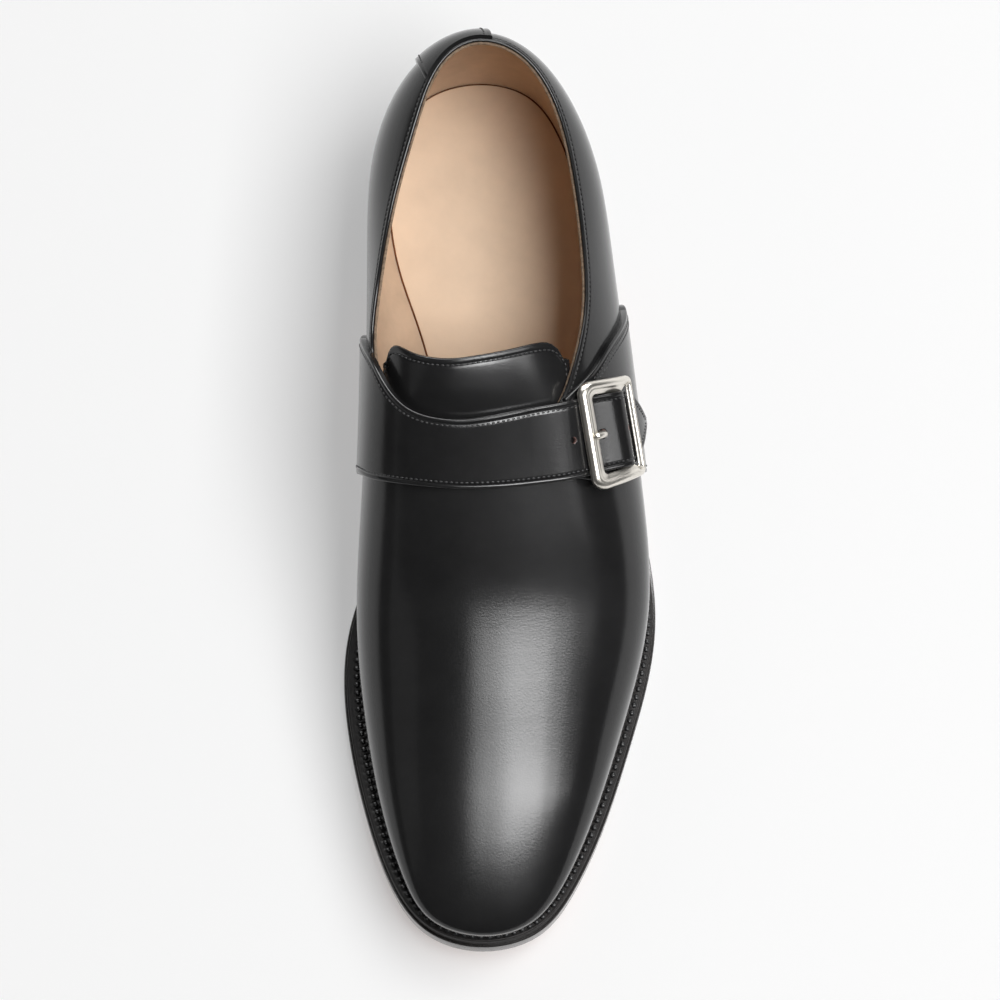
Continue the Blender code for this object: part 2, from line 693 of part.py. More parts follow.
def build_strap(material):
    """Inner-side base, band over the instep and pointed end, with its holes."""
    rear, front = edges_of(STRAP)
    across = np.concatenate([np.linspace(STRAP[0][0], STRAP[-1][0], STRAP_STEPS),
                             np.linspace(STRAP[-1][0], STRAP_TIP[0], TIP_STEPS)[1:]])[:, None]
    taper = np.clip((across - STRAP[-1][0]) / (STRAP_TIP[0] - STRAP[-1][0]), 0, 1) ** TIP_POWER
    share = np.linspace(0, 1, BAND_COLUMNS)[None, :]
    tip_rear, tip_front = STRAP_TIP[1] + TIP_BLUNT, STRAP_TIP[1] - TIP_BLUNT
    y_rear = rear(across) + (tip_rear - rear(across)) * taper
    y_front = front(across) + (tip_front - front(across)) * taper
    y = y_front + (y_rear - y_front) * share
    across = np.broadcast_to(across, y.shape)
    along = (band(y, across) - BUCKLE) @ STRAP_WAY
    lift = (OVERLAY + GAP) * smooth_step(across, *LAP_RAMP)
    hump = np.where(across > 0, STRAP_HUMP * soft_bump(along / HUMP_HALF), 0)
    base = GAP + lift + hump
    inner, outer = [raised(band, y, across, base + height) for height in (0.0, OVERLAY)]
    thing = shell("strap", inner, outer, material)
    bm = bmesh.new()
    for place in HOLES:
        path = [buckle_point(place, 0.0, height) for height in (-HOLE_REACH, 0.0, 2 * HOLE_REACH)]
        tube(bm, path, PRONG_HOLE if place == HOLES[1] else STRAP_HOLE, BAR_WAY)
    combine(thing, cutter("strap_holes", bm, material), "DIFFERENCE")
    return thing


def build_tab(material):
    """Outer-side base that carries the buckle, with the fold round the centre bar."""
    rear, front = edges_of(TAB)
    across = np.linspace(TAB[0][0], TAB[-1][0], TAB_STEPS)[:, None]
    share = np.linspace(0, 1, BAND_COLUMNS)[None, :]
    y = front(across) + (rear(across) - front(across)) * share
    across = np.broadcast_to(across, y.shape)
    place = band(y, across) - BUCKLE
    fold = TAB_FOLD * soft_bump(place @ STRAP_WAY / FOLD_HALF)
    fold = fold * (np.abs(place @ BAR_WAY) < FOLD_WIDTH)
    inner = raised(band, y, across, np.full(y.shape, GAP))
    return shell("buckle_tab", inner, raised(band, y, across, GAP + OVERLAY + fold), material)


def build_tongue(material):
    """Tongue inside the quarters, crowned in the open throat."""
    share = np.linspace(-1, 1, TONGUE_COLUMNS)[None, :]
    rise = np.linspace(0, 1, TONGUE_ROWS)[:, None]
    half = TONGUE_HALF[0] + (TONGUE_HALF[1] - TONGUE_HALF[0]) * smooth_step(rise, 0.0, TONGUE_FLARE)
    top = TONGUE_TOP + TONGUE_DIP * share ** 2 - TONGUE_CORNER * share ** CORNER_POWER
    y = TONGUE_FOOT + (top - TONGUE_FOOT) * rise
    across = TONGUE_MIDDLE + half * share
    crown = np.clip(1 - (share / CROWN_HALF) ** 2, 0, None) * smooth_step(y, *CROWN_RAMP)
    outer = -WALL - GAP - FACET + TONGUE_CROWN * crown
    inner, outer = [raised(band, y, across, outer + height) for height in (-TONGUE, 0.0)]
    return shell("tongue", inner, outer, material)


def frame_path():
    """Middle line of the buckle's frame: place, and the way outwards, round the corners."""
    path = []
    for corner, (sign_a, sign_b) in enumerate(((1, 1), (-1, 1), (-1, -1), (1, -1))):
        for angle in np.radians(90 * corner + np.linspace(0, 90, CORNER_STEPS)):
            way = np.array([np.cos(angle), np.sin(angle)])
            centre = np.array([sign_a, sign_b]) * (np.array(FRAME_HALF) - FRAME_CORNER)
            path.append((centre + FRAME_CORNER * way, way))
    dense = []
    for (place, way), (next_place, _) in zip(path, path[1:] + path[:1]):
        dense.append((place, way))
        if np.linalg.norm(next_place - place) > FRAME_CORNER:
            shares = np.linspace(0, 1, SIDE_STEPS)[1:-1]
            dense += [(place + (next_place - place) * share, way) for share in shares]
    return dense


def build_frame(material):
    """Arched frame with rounded corners, joined with its centre bar."""
    bm = bmesh.new()
    loops = []
    for place, way in frame_path():
        section = []
        for out, height in FRAME_SECTION:
            a, b = place + way * out
            section.append(buckle_point(a, b, FRAME_LOW + height))
        loops.append(points(bm, section))
    walls(bm, loops + loops[:1], True)
    thing = finish("buckle_frame", bm, material)
    bm = bmesh.new()
    ends = np.linspace(-FRAME_HALF[1], FRAME_HALF[1], 3)
    tube(bm, [buckle_point(0.0, b, BAR_HEIGHT) for b in ends], BAR_RADIUS, STRAP_WAY)
    combine(thing, cutter("centre_bar", bm, material), "UNION")
    return thing


def build_prong(material):
    """Prong from beside the centre bar, up through the strap, to the top of the frame."""
    bm = bmesh.new()
    tube(bm, [buckle_point(a, 0.0, height) for a, height in PRONG], PRONG_RADIUS, BAR_WAY)
    return finish("buckle_prong", bm, material)


def main():
    """Build every piece and set the origin under the middle of the shoe."""
    for thing in list(bpy.data.objects):
        bpy.data.objects.remove(thing)
    calf = surface_of("black_calf", (0.012, 0.012, 0.013), 0.28)
    lining = surface_of("tan_sock", (0.66, 0.49, 0.36), 0.6)
    tread_leather = surface_of("sole_leather", (0.42, 0.17, 0.075), 0.45)
    edge = surface_of("black_edge", (0.02, 0.018, 0.017), 0.4)
    rubber = surface_of("black_rubber", (0.04, 0.036, 0.034), 0.7)
    nickel = surface_of("nickel", (0.66, 0.64, 0.6), 0.2, 1.0)
    build_outsole(tread_leather)
    build_edge_strip("welt", BREAST_OUT + JOINT, 360 - BREAST_IN - JOINT, WELT_STEPS, edge)
    build_edge_strip("heel_rand", -BREAST_IN, BREAST_OUT, RAND_STEPS, edge)
    build_heel_stack(edge)
    top_piece = build_lift("heel_top_piece", tread_leather)
    combine(top_piece, dovetail("quarter_room", GAP, rubber), "DIFFERENCE")
    quarter = build_lift("heel_rubber_quarter", rubber)
    combine(quarter, dovetail("quarter_shape", 0.0, rubber), "INTERSECT")
    build_insole(lining)
    build_upper(calf)
    build_back_strap(calf)
    build_tongue(calf)
    build_strap(calf)
    build_tab(calf)
    build_frame(nickel)
    build_prong(nickel)
    for thing in bpy.data.objects:
        thing.location = (-CENTRE[0] * MM, -CENTRE[1] * MM, 0.0)


main()
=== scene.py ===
"""Looks of a left single monk strap shoe: leather, stitching, sole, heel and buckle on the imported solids.

Lengths in the tables and functions are millimetres; those of the properties, the materials and the stage
are metres. +X is the outer (buckle) side, +Y the heel, -Y the toe and +Z up. A "turn" is an angle round
the last in degrees: 0 at the back of the heel, 90 at the outer waist, 180 at the toe tip and 270 at the
inner waist.
"""

import bmesh
import bpy
import numpy as np
from mathutils import Matrix, Quaternion, Vector


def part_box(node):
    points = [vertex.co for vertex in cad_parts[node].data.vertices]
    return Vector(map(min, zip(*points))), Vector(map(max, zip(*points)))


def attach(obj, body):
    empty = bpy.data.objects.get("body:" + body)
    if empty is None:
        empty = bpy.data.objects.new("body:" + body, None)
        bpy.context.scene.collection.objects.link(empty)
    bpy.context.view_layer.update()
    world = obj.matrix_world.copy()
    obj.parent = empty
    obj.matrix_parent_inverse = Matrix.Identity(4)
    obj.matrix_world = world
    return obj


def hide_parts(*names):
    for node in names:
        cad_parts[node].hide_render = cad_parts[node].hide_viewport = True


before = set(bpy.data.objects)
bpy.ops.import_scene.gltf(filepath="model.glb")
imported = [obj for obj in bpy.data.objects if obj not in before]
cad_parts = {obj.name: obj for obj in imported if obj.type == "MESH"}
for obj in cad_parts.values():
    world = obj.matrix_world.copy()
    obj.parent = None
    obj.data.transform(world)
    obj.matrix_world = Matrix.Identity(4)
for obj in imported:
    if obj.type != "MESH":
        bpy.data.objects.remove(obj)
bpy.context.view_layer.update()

bl_info = {
    "name": "Monk strap shoe",
    "version": (1, 0, 0),
    "blender": (4, 5, 0),
    "location": "View3D > Sidebar > Shoe",
    "description": "Builds the visible pieces of a leather monk strap shoe and its studio stage",
    "category": "Object",
}

MM = 0.001

# Driving dimensions, the same as the solids
HEEL_END = 151.0
TOE_END = -151.0
LAST_BACK = 151.0
LAST_TIP = -148.5
HEEL_POLE = 106.0
TOE_POLE = -102.0
OUTSOLE = 5.0
WELT = 2.8
WELT_INSET = 0.9
INSOLE = 3.4
WALL = 2.2
OVERLAY = 1.9
TONGUE = 2.0
GAP = 0.3
LIFT = 6.0
HEEL_TAPER = 1.6
HEEL_LIFTS = 3
FLAT_FRONT = -66.0
FLAT_BACK = -44.0
HEEL_SEAT = 68.0
SEAT_HEIGHT = 19.8
SEAT_SLOPE = 0.05
TOE_SPRING = 12.5
SPRING_POWER = 1.8
LEAN = 0.7                # share of the toe spring by which the edges lean back
THROAT = 90.0
TOE_CAP_POWER = 2.1
HEEL_CAP_POWER = 3.0
FOOT_POWER = 2.3
FOOT_REACH = 0.86

COLUMNS = ("sole_in", "sole_out", "last_in", "last_out", "rise_in", "rise_out",
           "power_in", "power_out", "seat")
# One row every 15 degrees of turn, heel to toe
SECTIONS = (
    (-6.5, -6.5, -6.5, -6.5, 26.0, 26.0, 2.2, 2.2, 3.5),
    (-26.5, 12.5, -24.0, 10.8, 25.5, 25.0, 2.1, 2.1, 3.5),
    (-39.1, 24.8, -36.8, 24.2, 25.0, 23.0, 2.0, 2.0, 3.5),
    (-43.5, 32.4, -43.6, 33.6, 25.0, 20.0, 2.0, 1.9, 3.5),
    (-39.6, 35.6, -44.6, 38.5, 26.0, 18.0, 2.2, 1.85, 4.0),
    (-30.0, 37.1, -44.8, 43.2, 30.0, 20.0, 2.8, 1.85, 5.0),
    (-36.8, 47.3, -46.1, 47.9, 30.0, 24.0, 2.6, 2.0, 6.0),
    (-50.9, 52.6, -48.0, 49.9, 24.0, 22.5, 2.3, 2.2, 6.5),
    (-51.2, 45.2, -45.3, 42.2, 19.5, 19.0, 2.3, 2.3, 7.0),
    (-44.4, 35.4, -39.6, 32.5, 17.0, 17.0, 2.4, 2.4, 7.0),
    (-35.7, 24.8, -32.2, 22.5, 14.5, 14.5, 2.4, 2.4, 7.0),
    (-23.5, 12.6, -22.3, 11.2, 12.5, 12.5, 2.4, 2.4, 7.0),
    (-5.5, -5.5, -5.0, -5.0, 12.0, 12.0, 2.4, 2.4, 7.0),
)
# Crest of the foot: along, across, height
CREST = (
    (-148.0, -4.8, 41.0),
    (-104.0, -4.2, 47.0),
    (-75.0, -4.4, 54.0),
    (-50.0, -5.0, 60.7),
    (-38.0, -5.4, 64.5),
    (-25.0, -6.0, 69.7),
    (0.0, -7.2, 80.0),
    (16.0, -7.8, 87.0),
    (32.0, -8.0, 93.5),
    (50.0, -7.4, 97.0),
    (80.0, -6.0, 94.0),
    (121.0, -5.0, 93.0),
    (153.0, -6.0, 102.0),
)
TIP_SLOPE = 0.1
BACK_SLOPE = 0.3
# Collar edge: turn, climb on the inner side, climb on the outer side
COLLAR = (
    (0.0, 0.36, 0.36),
    (15.0, 0.43, 0.36),
    (30.0, 0.505, 0.385),
    (45.0, 0.475, 0.425),
    (60.0, 0.34, 0.43),
    (67.5, 0.252, 0.462),
    (75.0, 0.22, 0.55),
    (79.0, 0.34, 0.61),
    (83.0, 0.54, 0.70),
    (87.0, 0.86, 0.87),
    (90.0, 1.0, 1.0),
)
THROAT_SLOPE = 0.045
# Underside of the outsole between tread and heel seat: along, height
SHANK = ((-44.0, 0.0), (-20.0, 1.7), (10.0, 6.8), (40.0, 13.6), (68.0, 19.8))
# Strap and tab: across, rear edge, front edge
STRAP = (
    (-1.42, 56.5, 9.6),
    (-1.0, 50.0, 5.5),
    (-0.84, 43.5, 2.5),
    (-0.69, 36.0, -0.6),
    (-0.55, 26.5, -2.8),
    (-0.40, 19.0, -4.6),
    (-0.20, 15.0, -6.4),
    (0.0, 14.8, -6.9),
    (0.2, 18.3, -5.3),
    (0.42, 23.3, -1.2),
    (0.60, 27.5, 3.3),
    (0.70, 29.6, 5.6),
)
TAB = (
    (0.36, 22.5, -2.2),
    (0.45, 29.0, -2.2),
    (0.505, 33.0, -1.6),
    (0.615, 42.0, 0.4),
    (0.73, 49.5, 2.8),
    (0.865, 56.5, 5.2),
    (1.0, 62.0, 7.5),
    (1.42, 67.5, 11.5),
)
STRAP_TIP = (0.915, 23.0)
TIP_BLUNT = 1.2
TIP_POWER = 1.15
LAP_RAMP = (0.2, 0.36)
STRAP_LEAN = 27.0
STRAP_HUMP = 3.7
HUMP_AT = 3.0             # the strap is highest here, outwards from the bar
HUMP_HALF = (11.5, 6.0)
HOLES = (-15.0, -4.9, 4.8)
STRAP_HOLE = 1.1
PRONG_HOLE = 1.5
HOLE_REACH = 6.0
SEATED = 0.05             # overlays lie this close on the upper
STRAP_THICK = OVERLAY + GAP - SEATED

# Sole and heel
EDGE_BEVEL = 0.8
BREAST_OUT = 57.9
BREAST_IN = 61.2
BREAST_HOLLOW = 4.2
JOINT = 0.15
DOVETAIL = ((29.0, 119.0), (8.8, 125.5), (9.6, 114.7), (-18.8, 124.5), (-11.0, 132.2), (-31.0, 141.0))
# Outsole stitch line inside the sole's edge: turn, inner side, outer side
CHANNEL = (
    (0.0, 6.0, 6.0),
    (60.0, 6.0, 6.2),
    (90.0, 5.6, 6.4),
    (120.0, 3.6, 6.0),
    (150.0, 3.6, 4.8),
    (180.0, 4.0, 4.0),
)
# Section of the stitch channel: offset from the stitch line, share of the depth
CHANNEL_SECTION = (
    (-0.75, 0.0), (-0.55, 0.25), (-0.4, 0.9), (0.0, 1.0), (0.4, 0.9), (0.55, 0.15), (0.8, 0.0),
)
CHANNEL_ENDS = (59.0, 60.5)  # the channel opens between these turns, in front of the heel
SOLE_MIDDLE = 15.0        # the sole's rings end here, inside its edge
FLAT_RING = 8.6           # and those of its flat part begin here
WHEEL_LINE = 11.2         # wheeled line inside the sole's edge
WHEEL_TOOTH = (3.3, 1.0)  # length and reach of its teeth
WHEEL_HALF = 0.9          # half width of the line
WHEEL_SUNK = 0.1
PRESSED_DARK = (0.55, 0.9)  # how dark the wheeled line and the channel are
BORDER_FADE = (0.2, 1.2)  # the border's colour begins and is full this far outside the stitch line
WHEEL_ENDS = (66.0, 70.0)  # the line begins between these turns
SOLE_BEAD = (0.95, 0.8)   # width and height of a sole stitch
# Section of welt and rand: share of the width, millimetres from the outer edge, drop of the top
WELT_SECTION = (
    (0.0, 0.0, 0.7), (0.0, 0.1, 0.3), (0.0, 0.3, 0.08), (0.0, 0.6, 0.0), (0.0, 0.9, 0.12),
    (0.0, 1.2, 0.0), (0.3, 0.8, 0.0), (0.4, 0.7, 0.0), (0.5, 0.6, 0.0), (0.6, 0.5, 0.0),
    (0.7, 0.3, 0.0), (0.8, 0.2, 0.0), (0.9, 0.1, 0.0), (1.0, 0.0, 0.25),
)
WELT_ROW = (0.27, 0.6)    # stitches, share of the welt's width from its edge: outer side, inner side
WELT_BEAD = (2.0, 1.4)    # width and height of a welt stitch
TOE_TURNS = (190.0, 250.0)  # the row changes from its outer to its inner place between these turns
MARK_PATH = 2.4           # the wheel marks are counted here, inside the welt's edge
MARK_SLANT = 0.35         # share of a pitch by which a mark leans across the welt
MARK_SHIFT = 0.25         # how far inwards the marks move on the inner side
# Edge of the sock: inset, height
SOCK_RIMS = ((0.0, 2.2), (0.05, 3.0), (0.5, 3.32), (1.0, 3.4), (4.0, INSOLE))
# Sides of a stacked lift and of the lowest lift, from below: share of the height, depth
LIFT_SIDE = ((0.06, 0.0), (0.5, -0.03), (0.94, 0.0), (0.985, 0.07))
LOW_LIFT_SIDE = ((0.08, 0.0), (0.5, -0.02), (0.95, 0.0))
SCRIBE = 0.22             # depth of the line scribed inside the lowest lift's edge
SCRIBE_LINE = (4.4, 0.35)  # its place behind the breast and its half width
# Nail rows: share across, inset from the edge, first and last step, count
NAIL_ROWS = ((1.0, 9.0, 0.18, 0.52, 5), (0.0, 8.2, 0.13, 0.78, 9))
NAIL = (0.8, 0.8, 0.32)   # half axes of a nail's head
NAIL_HEIGHT = 0.24
DOVETAIL_JOINT = 0.12     # open joint between leather and rubber
GLUE = 0.05               # joint above and below the stacked lifts
BEDDED = 0.02             # welt and rand lie this close on the outsole, and their stitches this deep
CLEAR = 0.1               # room between the upper's wall and its neighbours
TUCK = (1.0, 0.6)         # how far the wall reaches below the tops of welt and insole: outside, inside
SOLE_STITCH = 0.22        # height of the sole stitches in their channel
STITCH_END = 2.0          # turns that they leave free before the heel

# Buckle
BUCKLE_Y = 14.4
BUCKLE_ACROSS = 0.56
BUCKLE_ARCH = 42.3
FRAME_HALF = (9.5, 15.8)
FRAME_CORNER = 1.4        # corner radius of the window
CORNER_GROWTH = 0.6       # how fast the corner radius grows outwards
FRAME_LOW = 4.95
# Section of the frame, from the window's edge over the slanted inner face and the rounded outside
FRAME_SECTION = (
    (-2.4, 0.2), (-2.4, 1.0), (-2.2, 1.25), (-1.4, 1.7), (-0.75, 2.05), (-0.3, 2.5), (0.3, 2.9),
    (1.0, 2.95), (1.7, 2.5), (2.2, 1.6), (2.3, 0.7), (1.9, 0.0), (-0.2, 0.0),
)
FRAME_TAPER = 0.07        # how much shorter the frame's outer end is
FRAME_NARROW = 0.5        # how much slimmer the frame's outer end is
FRAME_SINK = 0.45         # and how much lower
BAR_HEIGHT = 4.2
BAR_RADIUS = 0.8
PRONG = ((-5.2, 4.4), (-5.3, 5.8), (-5.6, 7.1), (-6.5, 8.1), (-8.0, 8.6), (-10.2, 8.8))
PRONG_RADIUS = 1.2
PRONG_SLOPE = (-15.0, -0.6)
PRONG_BLUNT = 0.1         # share of the prong that rounds off at its tip

# Back strap and tongue
BACK_STRAP = 1.4
BACK_TURN = -9.0
BACK_HALF_TOP = 12.5
BACK_HALF_LOW = 6.5
BACK_FOOT = -0.97
BACK_TOP = 0.42           # climb at which the strip has its full width
BACK_BELOW = 0.012        # how far below the collar's edge it ends
TONGUE_FOOT = -14.0
TONGUE_TOP = 33.0
TONGUE_DIP = 11.5
TONGUE_TILT = 0.3
TONGUE_CORNER = 8.5
CORNER_POWER = 12
TONGUE_FLARE = 0.7
TONGUE_MIDDLE = -0.14
TONGUE_HALF = (0.38, 0.58)
TONGUE_CROWN = 1.6
CROWN_HALF = 0.78
CROWN_RAMP = (8.0, 24.0)
FACET = 0.2
TONGUE_ROUND = 0.6
TONGUE_LINE = (0.16, 2.1, 0.45)  # sewn line: depth, place below the top and half width

# Rolled collar edge, from the outside over the top to the lining: along the wall, out of the wall
RIM = (
    (-2.2, -0.06), (-1.85, -0.24), (-1.45, -0.05), (-0.6, 0.03), (-0.22, -0.12), (-0.03, -0.4),
    (0.0, -0.6), (-0.03, -0.8), (-0.22, -1.05), (-0.5, -1.15), (-0.75, -1.2), (-0.2, -1.28),
    (-0.05, -1.65), (-0.2, -2.1),
)
RIM_START = 2.6
RIM_FADE = 4.0
RAW_EDGE = 4              # rows of the rim that are the lining's cut edge

# Stitch rows of the upper
THREAD_RISE = 0.8         # height of a stitch for each millimetre of its width
STRAP_SEAM = (0.02, 0.03)  # places across that the strap's rows leave free at its base and its tip
TAB_SEAM = 1.5            # distance between the tab's two rear rows
BACK_SEAM = 2.0           # rows of the back strap inside its edges
BACK_SEAM_ENDS = (0.05, 0.34)  # their climb: above the strip's foot, and at the top
TONGUE_SEAM = (0.45, 0.94, 0.952)  # rise of the tongue's row: at both ends, at the corners, along the top
COLLAR_SEAM = (1.85, 0.2)  # row of the collar: below its top, into the wall
COLLAR_SEAM_END = 7.0     # turns that it leaves free at the throat

# Steps of the meshes
SIDE_STEP = 0.5
RIB_STEP = 0.4
BAND_STEP = 0.2
CLIMB_STEP = 0.004
RIB_REACH = 0.985
BAND_REACH = 1.49
UPPER_COLUMNS = 480
FOOT_ROWS = 12
WALL_ROWS = 40
LINING_ROWS = 20
CAD_TURNS = 96
INSET_LIMIT = 0.46        # share of a strip that its edge rows may take up


def spline(table, column, start_slope, end_slope):
    """Smooth curve through a column of a table over its first column; returns a function."""
    x = np.array([row[0] for row in table], float)
    y = np.array([row[column] for row in table], float)
    step = np.diff(x)
    rate = np.diff(y) / step
    size = len(x)
    matrix = np.zeros((size, size))
    right = np.zeros(size)
    matrix[0, 0] = matrix[-1, -1] = 1.0
    right[0], right[-1] = start_slope, end_slope
    for i in range(1, size - 1):
        matrix[i, i - 1:i + 2] = step[i], 2 * (step[i - 1] + step[i]), step[i - 1]
        right[i] = 3 * (step[i] * rate[i - 1] + step[i - 1] * rate[i])
    slope = np.linalg.solve(matrix, right)

    def curve(place):
        place = np.clip(place, x[0], x[-1])
        i = np.clip(np.searchsorted(x, place, side="right") - 1, 0, size - 2)
        t = (place - x[i]) / step[i]
        bend_a = slope[i] * step[i] - (y[i + 1] - y[i])
        bend_b = (y[i + 1] - y[i]) - slope[i + 1] * step[i]
        return (1 - t) * y[i] + t * y[i + 1] + t * (1 - t) * ((1 - t) * bend_a + t * bend_b)
    return curve


def closed_spline(values):
    """Smooth closed curve through evenly spaced values; returns a function of degrees."""
    v = np.array(values, float)
    size = len(v)
    matrix = 4 * np.eye(size) + np.roll(np.eye(size), 1, 0) + np.roll(np.eye(size), -1, 0)
    bend = np.linalg.solve(matrix, np.roll(v, 1) - 2 * v + np.roll(v, -1))

    def curve(turn):
        s = np.asarray(turn, float) / 360 * size
        i = np.floor(s).astype(int)
        t = s - i
        a, b = i % size, (i + 1) % size
        return ((1 - t) * v[a] + t * v[b]
                + ((1 - t) ** 3 - (1 - t)) * bend[a] + (t ** 3 - t) * bend[b])
    return curve


def ring_of(inner, outer):
    """Values round the last from the inner and outer columns of the sections."""
    rows = [dict(zip(COLUMNS, row)) for row in SECTIONS]
    return closed_spline([row[outer] for row in rows] + [row[inner] for row in rows[-2:0:-1]])


SOLE_X = ring_of("sole_in", "sole_out")
LAST_X = ring_of("last_in", "last_out")
RISE = ring_of("rise_in", "rise_out")
POWER = ring_of("power_in", "power_out")
SEAT = ring_of("seat", "seat")
CREST_X = spline(CREST, 1, 0.0, 0.0)
CREST_Z = spline(CREST, 2, TIP_SLOPE, BACK_SLOPE)
SHANK_Z = spline(SHANK, 1, 0.0, SEAT_SLOPE)
COLLAR_IN = spline(COLLAR, 1, 0.0, THROAT_SLOPE)
COLLAR_OUT = spline(COLLAR, 2, 0.0, THROAT_SLOPE)
CHANNEL_IN = spline(CHANNEL, 1, 0.0, 0.0)
CHANNEL_OUT = spline(CHANNEL, 2, 0.0, 0.0)


def oval_y(turn, back, front):
    """Place along the shoe, for turns round an outline between two ends."""
    return (back + front) / 2 + (back - front) / 2 * np.cos(np.radians(turn))


def sole_y(turn):
    """Place along the shoe of the sole's edge."""
    return oval_y(turn, HEEL_END, TOE_END)


def last_y(turn):
    """Place along the shoe of the last's widest line."""
    return oval_y(turn, LAST_BACK, LAST_TIP)


# The solids' place in plan, from the outsole's box
CAD_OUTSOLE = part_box("outsole")[1] / MM
PLAN_SHIFT = (CAD_OUTSOLE.x - SOLE_X(np.arange(CAD_TURNS) * 360 / CAD_TURNS).max(),
              CAD_OUTSOLE.y - HEEL_END, 0.0)


def spring(y):
    """Share of the sprung toe: 0 on the tread, 1 at the tip."""
    return np.clip((FLAT_FRONT - y) / (FLAT_FRONT - TOE_END), 0, None)


def tread(y):
    """Height of the outsole's underside."""
    seat = SEAT_HEIGHT + SEAT_SLOPE * (y - HEEL_SEAT)
    rear = np.where(y > HEEL_SEAT, seat, SHANK_Z(y))
    return np.where(y < FLAT_BACK, TOE_SPRING * spring(y) ** SPRING_POWER, rear)


def stand(x, y, height):
    """Points at a height square to the outsole's underside; the sprung toe leans back."""
    slope = TOE_SPRING * SPRING_POWER * spring(y) ** (SPRING_POWER - 1) / (FLAT_FRONT - TOE_END)
    return np.stack(np.broadcast_arrays(x, y + LEAN * slope * height, tread(y) + height), -1)


def welt_top(y):
    """Height of the welt's upper face."""
    return tread(y) + OUTSOLE + GAP + WELT


def sole_edge(turn, inset=0.0):
    """Point of the sole's outline, moved inwards by the inset."""
    turn = np.asarray(turn, float)
    dx = SOLE_X(turn + SIDE_STEP) - SOLE_X(turn - SIDE_STEP)
    dy = sole_y(turn + SIDE_STEP) - sole_y(turn - SIDE_STEP)
    length = np.hypot(dx, dy)
    return SOLE_X(turn) + inset * dy / length, sole_y(turn) - inset * dx / length


def cap(y):
    """Share of the crest's height that is left towards the toe tip and the heel's back."""
    toe = np.clip((TOE_POLE - y) / (TOE_POLE - LAST_TIP), 0, 1)
    heel = np.clip((y - HEEL_POLE) / (LAST_BACK - HEEL_POLE), 0, 1)
    toe_share = (1 - toe ** TOE_CAP_POWER) ** (1 / TOE_CAP_POWER)
    return toe_share * (1 - heel ** HEEL_CAP_POWER) ** (1 / HEEL_CAP_POWER)


def turn_at(y, across):
    """Turn of the widest line at a place along the shoe, on the outer side where across is positive."""
    middle = (LAST_BACK + LAST_TIP) / 2
    turn = np.degrees(np.arccos(np.clip((y - middle) / (LAST_BACK - middle), -1, 1)))
    return np.where(across >= 0, turn, 360 - turn)


def wide_z(turn):
    """Height of the widest line."""
    return welt_top(last_y(turn)) + RISE(turn)


def roof(x, y):
    """Height of the upper's outer face above the widest line."""
    across = x - CREST_X(y)
    turn = turn_at(y, across)
    share = np.clip(np.abs(across) / np.abs(LAST_X(turn) - CREST_X(y)), 0, 1)
    power = POWER(turn)
    base = wide_z(turn)
    return base + (CREST_Z(y) - base) * cap(y) * (1 - share ** power) ** (1 / power)


def foot(turn, drop):
    """Point between the widest line (drop 0) and the welt (drop 1)."""
    x, y = sole_edge(turn, SEAT(turn))
    curve = [1 - (1 - (FOOT_REACH * d) ** FOOT_POWER) ** (1 / FOOT_POWER) for d in (drop, 1.0)]
    share = curve[0] / curve[1]
    top = wide_z(turn)
    return (LAST_X(turn) + (x - LAST_X(turn)) * share,
            last_y(turn) + (y - last_y(turn)) * share,
            top + (welt_top(y) + GAP - top) * drop)


def rib(turn, climb):
    """Point of the upper's outer face: climb -1 at the welt, 0 at the widest line, 1 on the crest."""
    turn, climb = np.broadcast_arrays(np.asarray(turn, float), np.asarray(climb, float))
    low = foot(turn, np.clip(-climb, 0, 1))
    share = 1 - np.cos(np.radians(90 * np.clip(climb, 0, 1)))
    pole = oval_y(turn, HEEL_POLE, TOE_POLE)
    x = LAST_X(turn) + (CREST_X(pole) - LAST_X(turn)) * share
    y = last_y(turn) + (pole - last_y(turn)) * share
    high = (x, y, roof(x, y))
    return np.stack([np.where(climb < 0, a, b) for a, b in zip(low, high)], -1)


def band(y, across):
    """Point of the outer face on the section at y: across -1.5 inner welt, 0 crest, 1.5 outer welt."""
    y, across = np.broadcast_arrays(np.asarray(y, float), np.asarray(across, float))
    turn = turn_at(y, across)
    low = foot(turn, np.clip(2 * (np.abs(across) - 1), 0, 1))
    share = np.sin(np.radians(90 * np.clip(np.abs(across), 0, 1)))
    x = CREST_X(y) + (LAST_X(turn) - CREST_X(y)) * share
    high = (x, y, roof(x, y))
    return np.stack([np.where(np.abs(across) > 1, a, b) for a, b in zip(low, high)], -1)


def unit(vectors):
    """Vectors of length 1."""
    return vectors / np.linalg.norm(vectors, axis=-1, keepdims=True)


def facing(surface, a, b):
    """Directions on a surface: along a, along b (both per unit) and the outward normal."""
    a, b = np.broadcast_arrays(np.asarray(a, float), np.asarray(b, float))
    step = BAND_STEP if surface is band else RIB_STEP
    reach = BAND_REACH if surface is band else RIB_REACH
    safe = np.clip(b, -reach, reach)
    along = (surface(a + step, safe) - surface(a - step, safe)) / (2 * step)
    over = (surface(a, safe + CLIMB_STEP) - surface(a, safe - CLIMB_STEP)) / (2 * CLIMB_STEP)
    return along, over, unit(np.cross(over, along))


def raised(surface, a, b, height):
    """Points of a surface moved out along its normal by a height."""
    return surface(a, b) + facing(surface, a, b)[2] * np.asarray(height)[..., None]


def on_sole(turn, inset, height):
    """Points inside the sole's edge at a height above the outsole's underside."""
    return stand(*sole_edge(turn, inset), height)


def smooth_step(value, start, end):
    """0 before start, 1 after end, with a soft change between."""
    t = np.clip((value - start) / (end - start), 0, 1)
    return t * t * (3 - 2 * t)


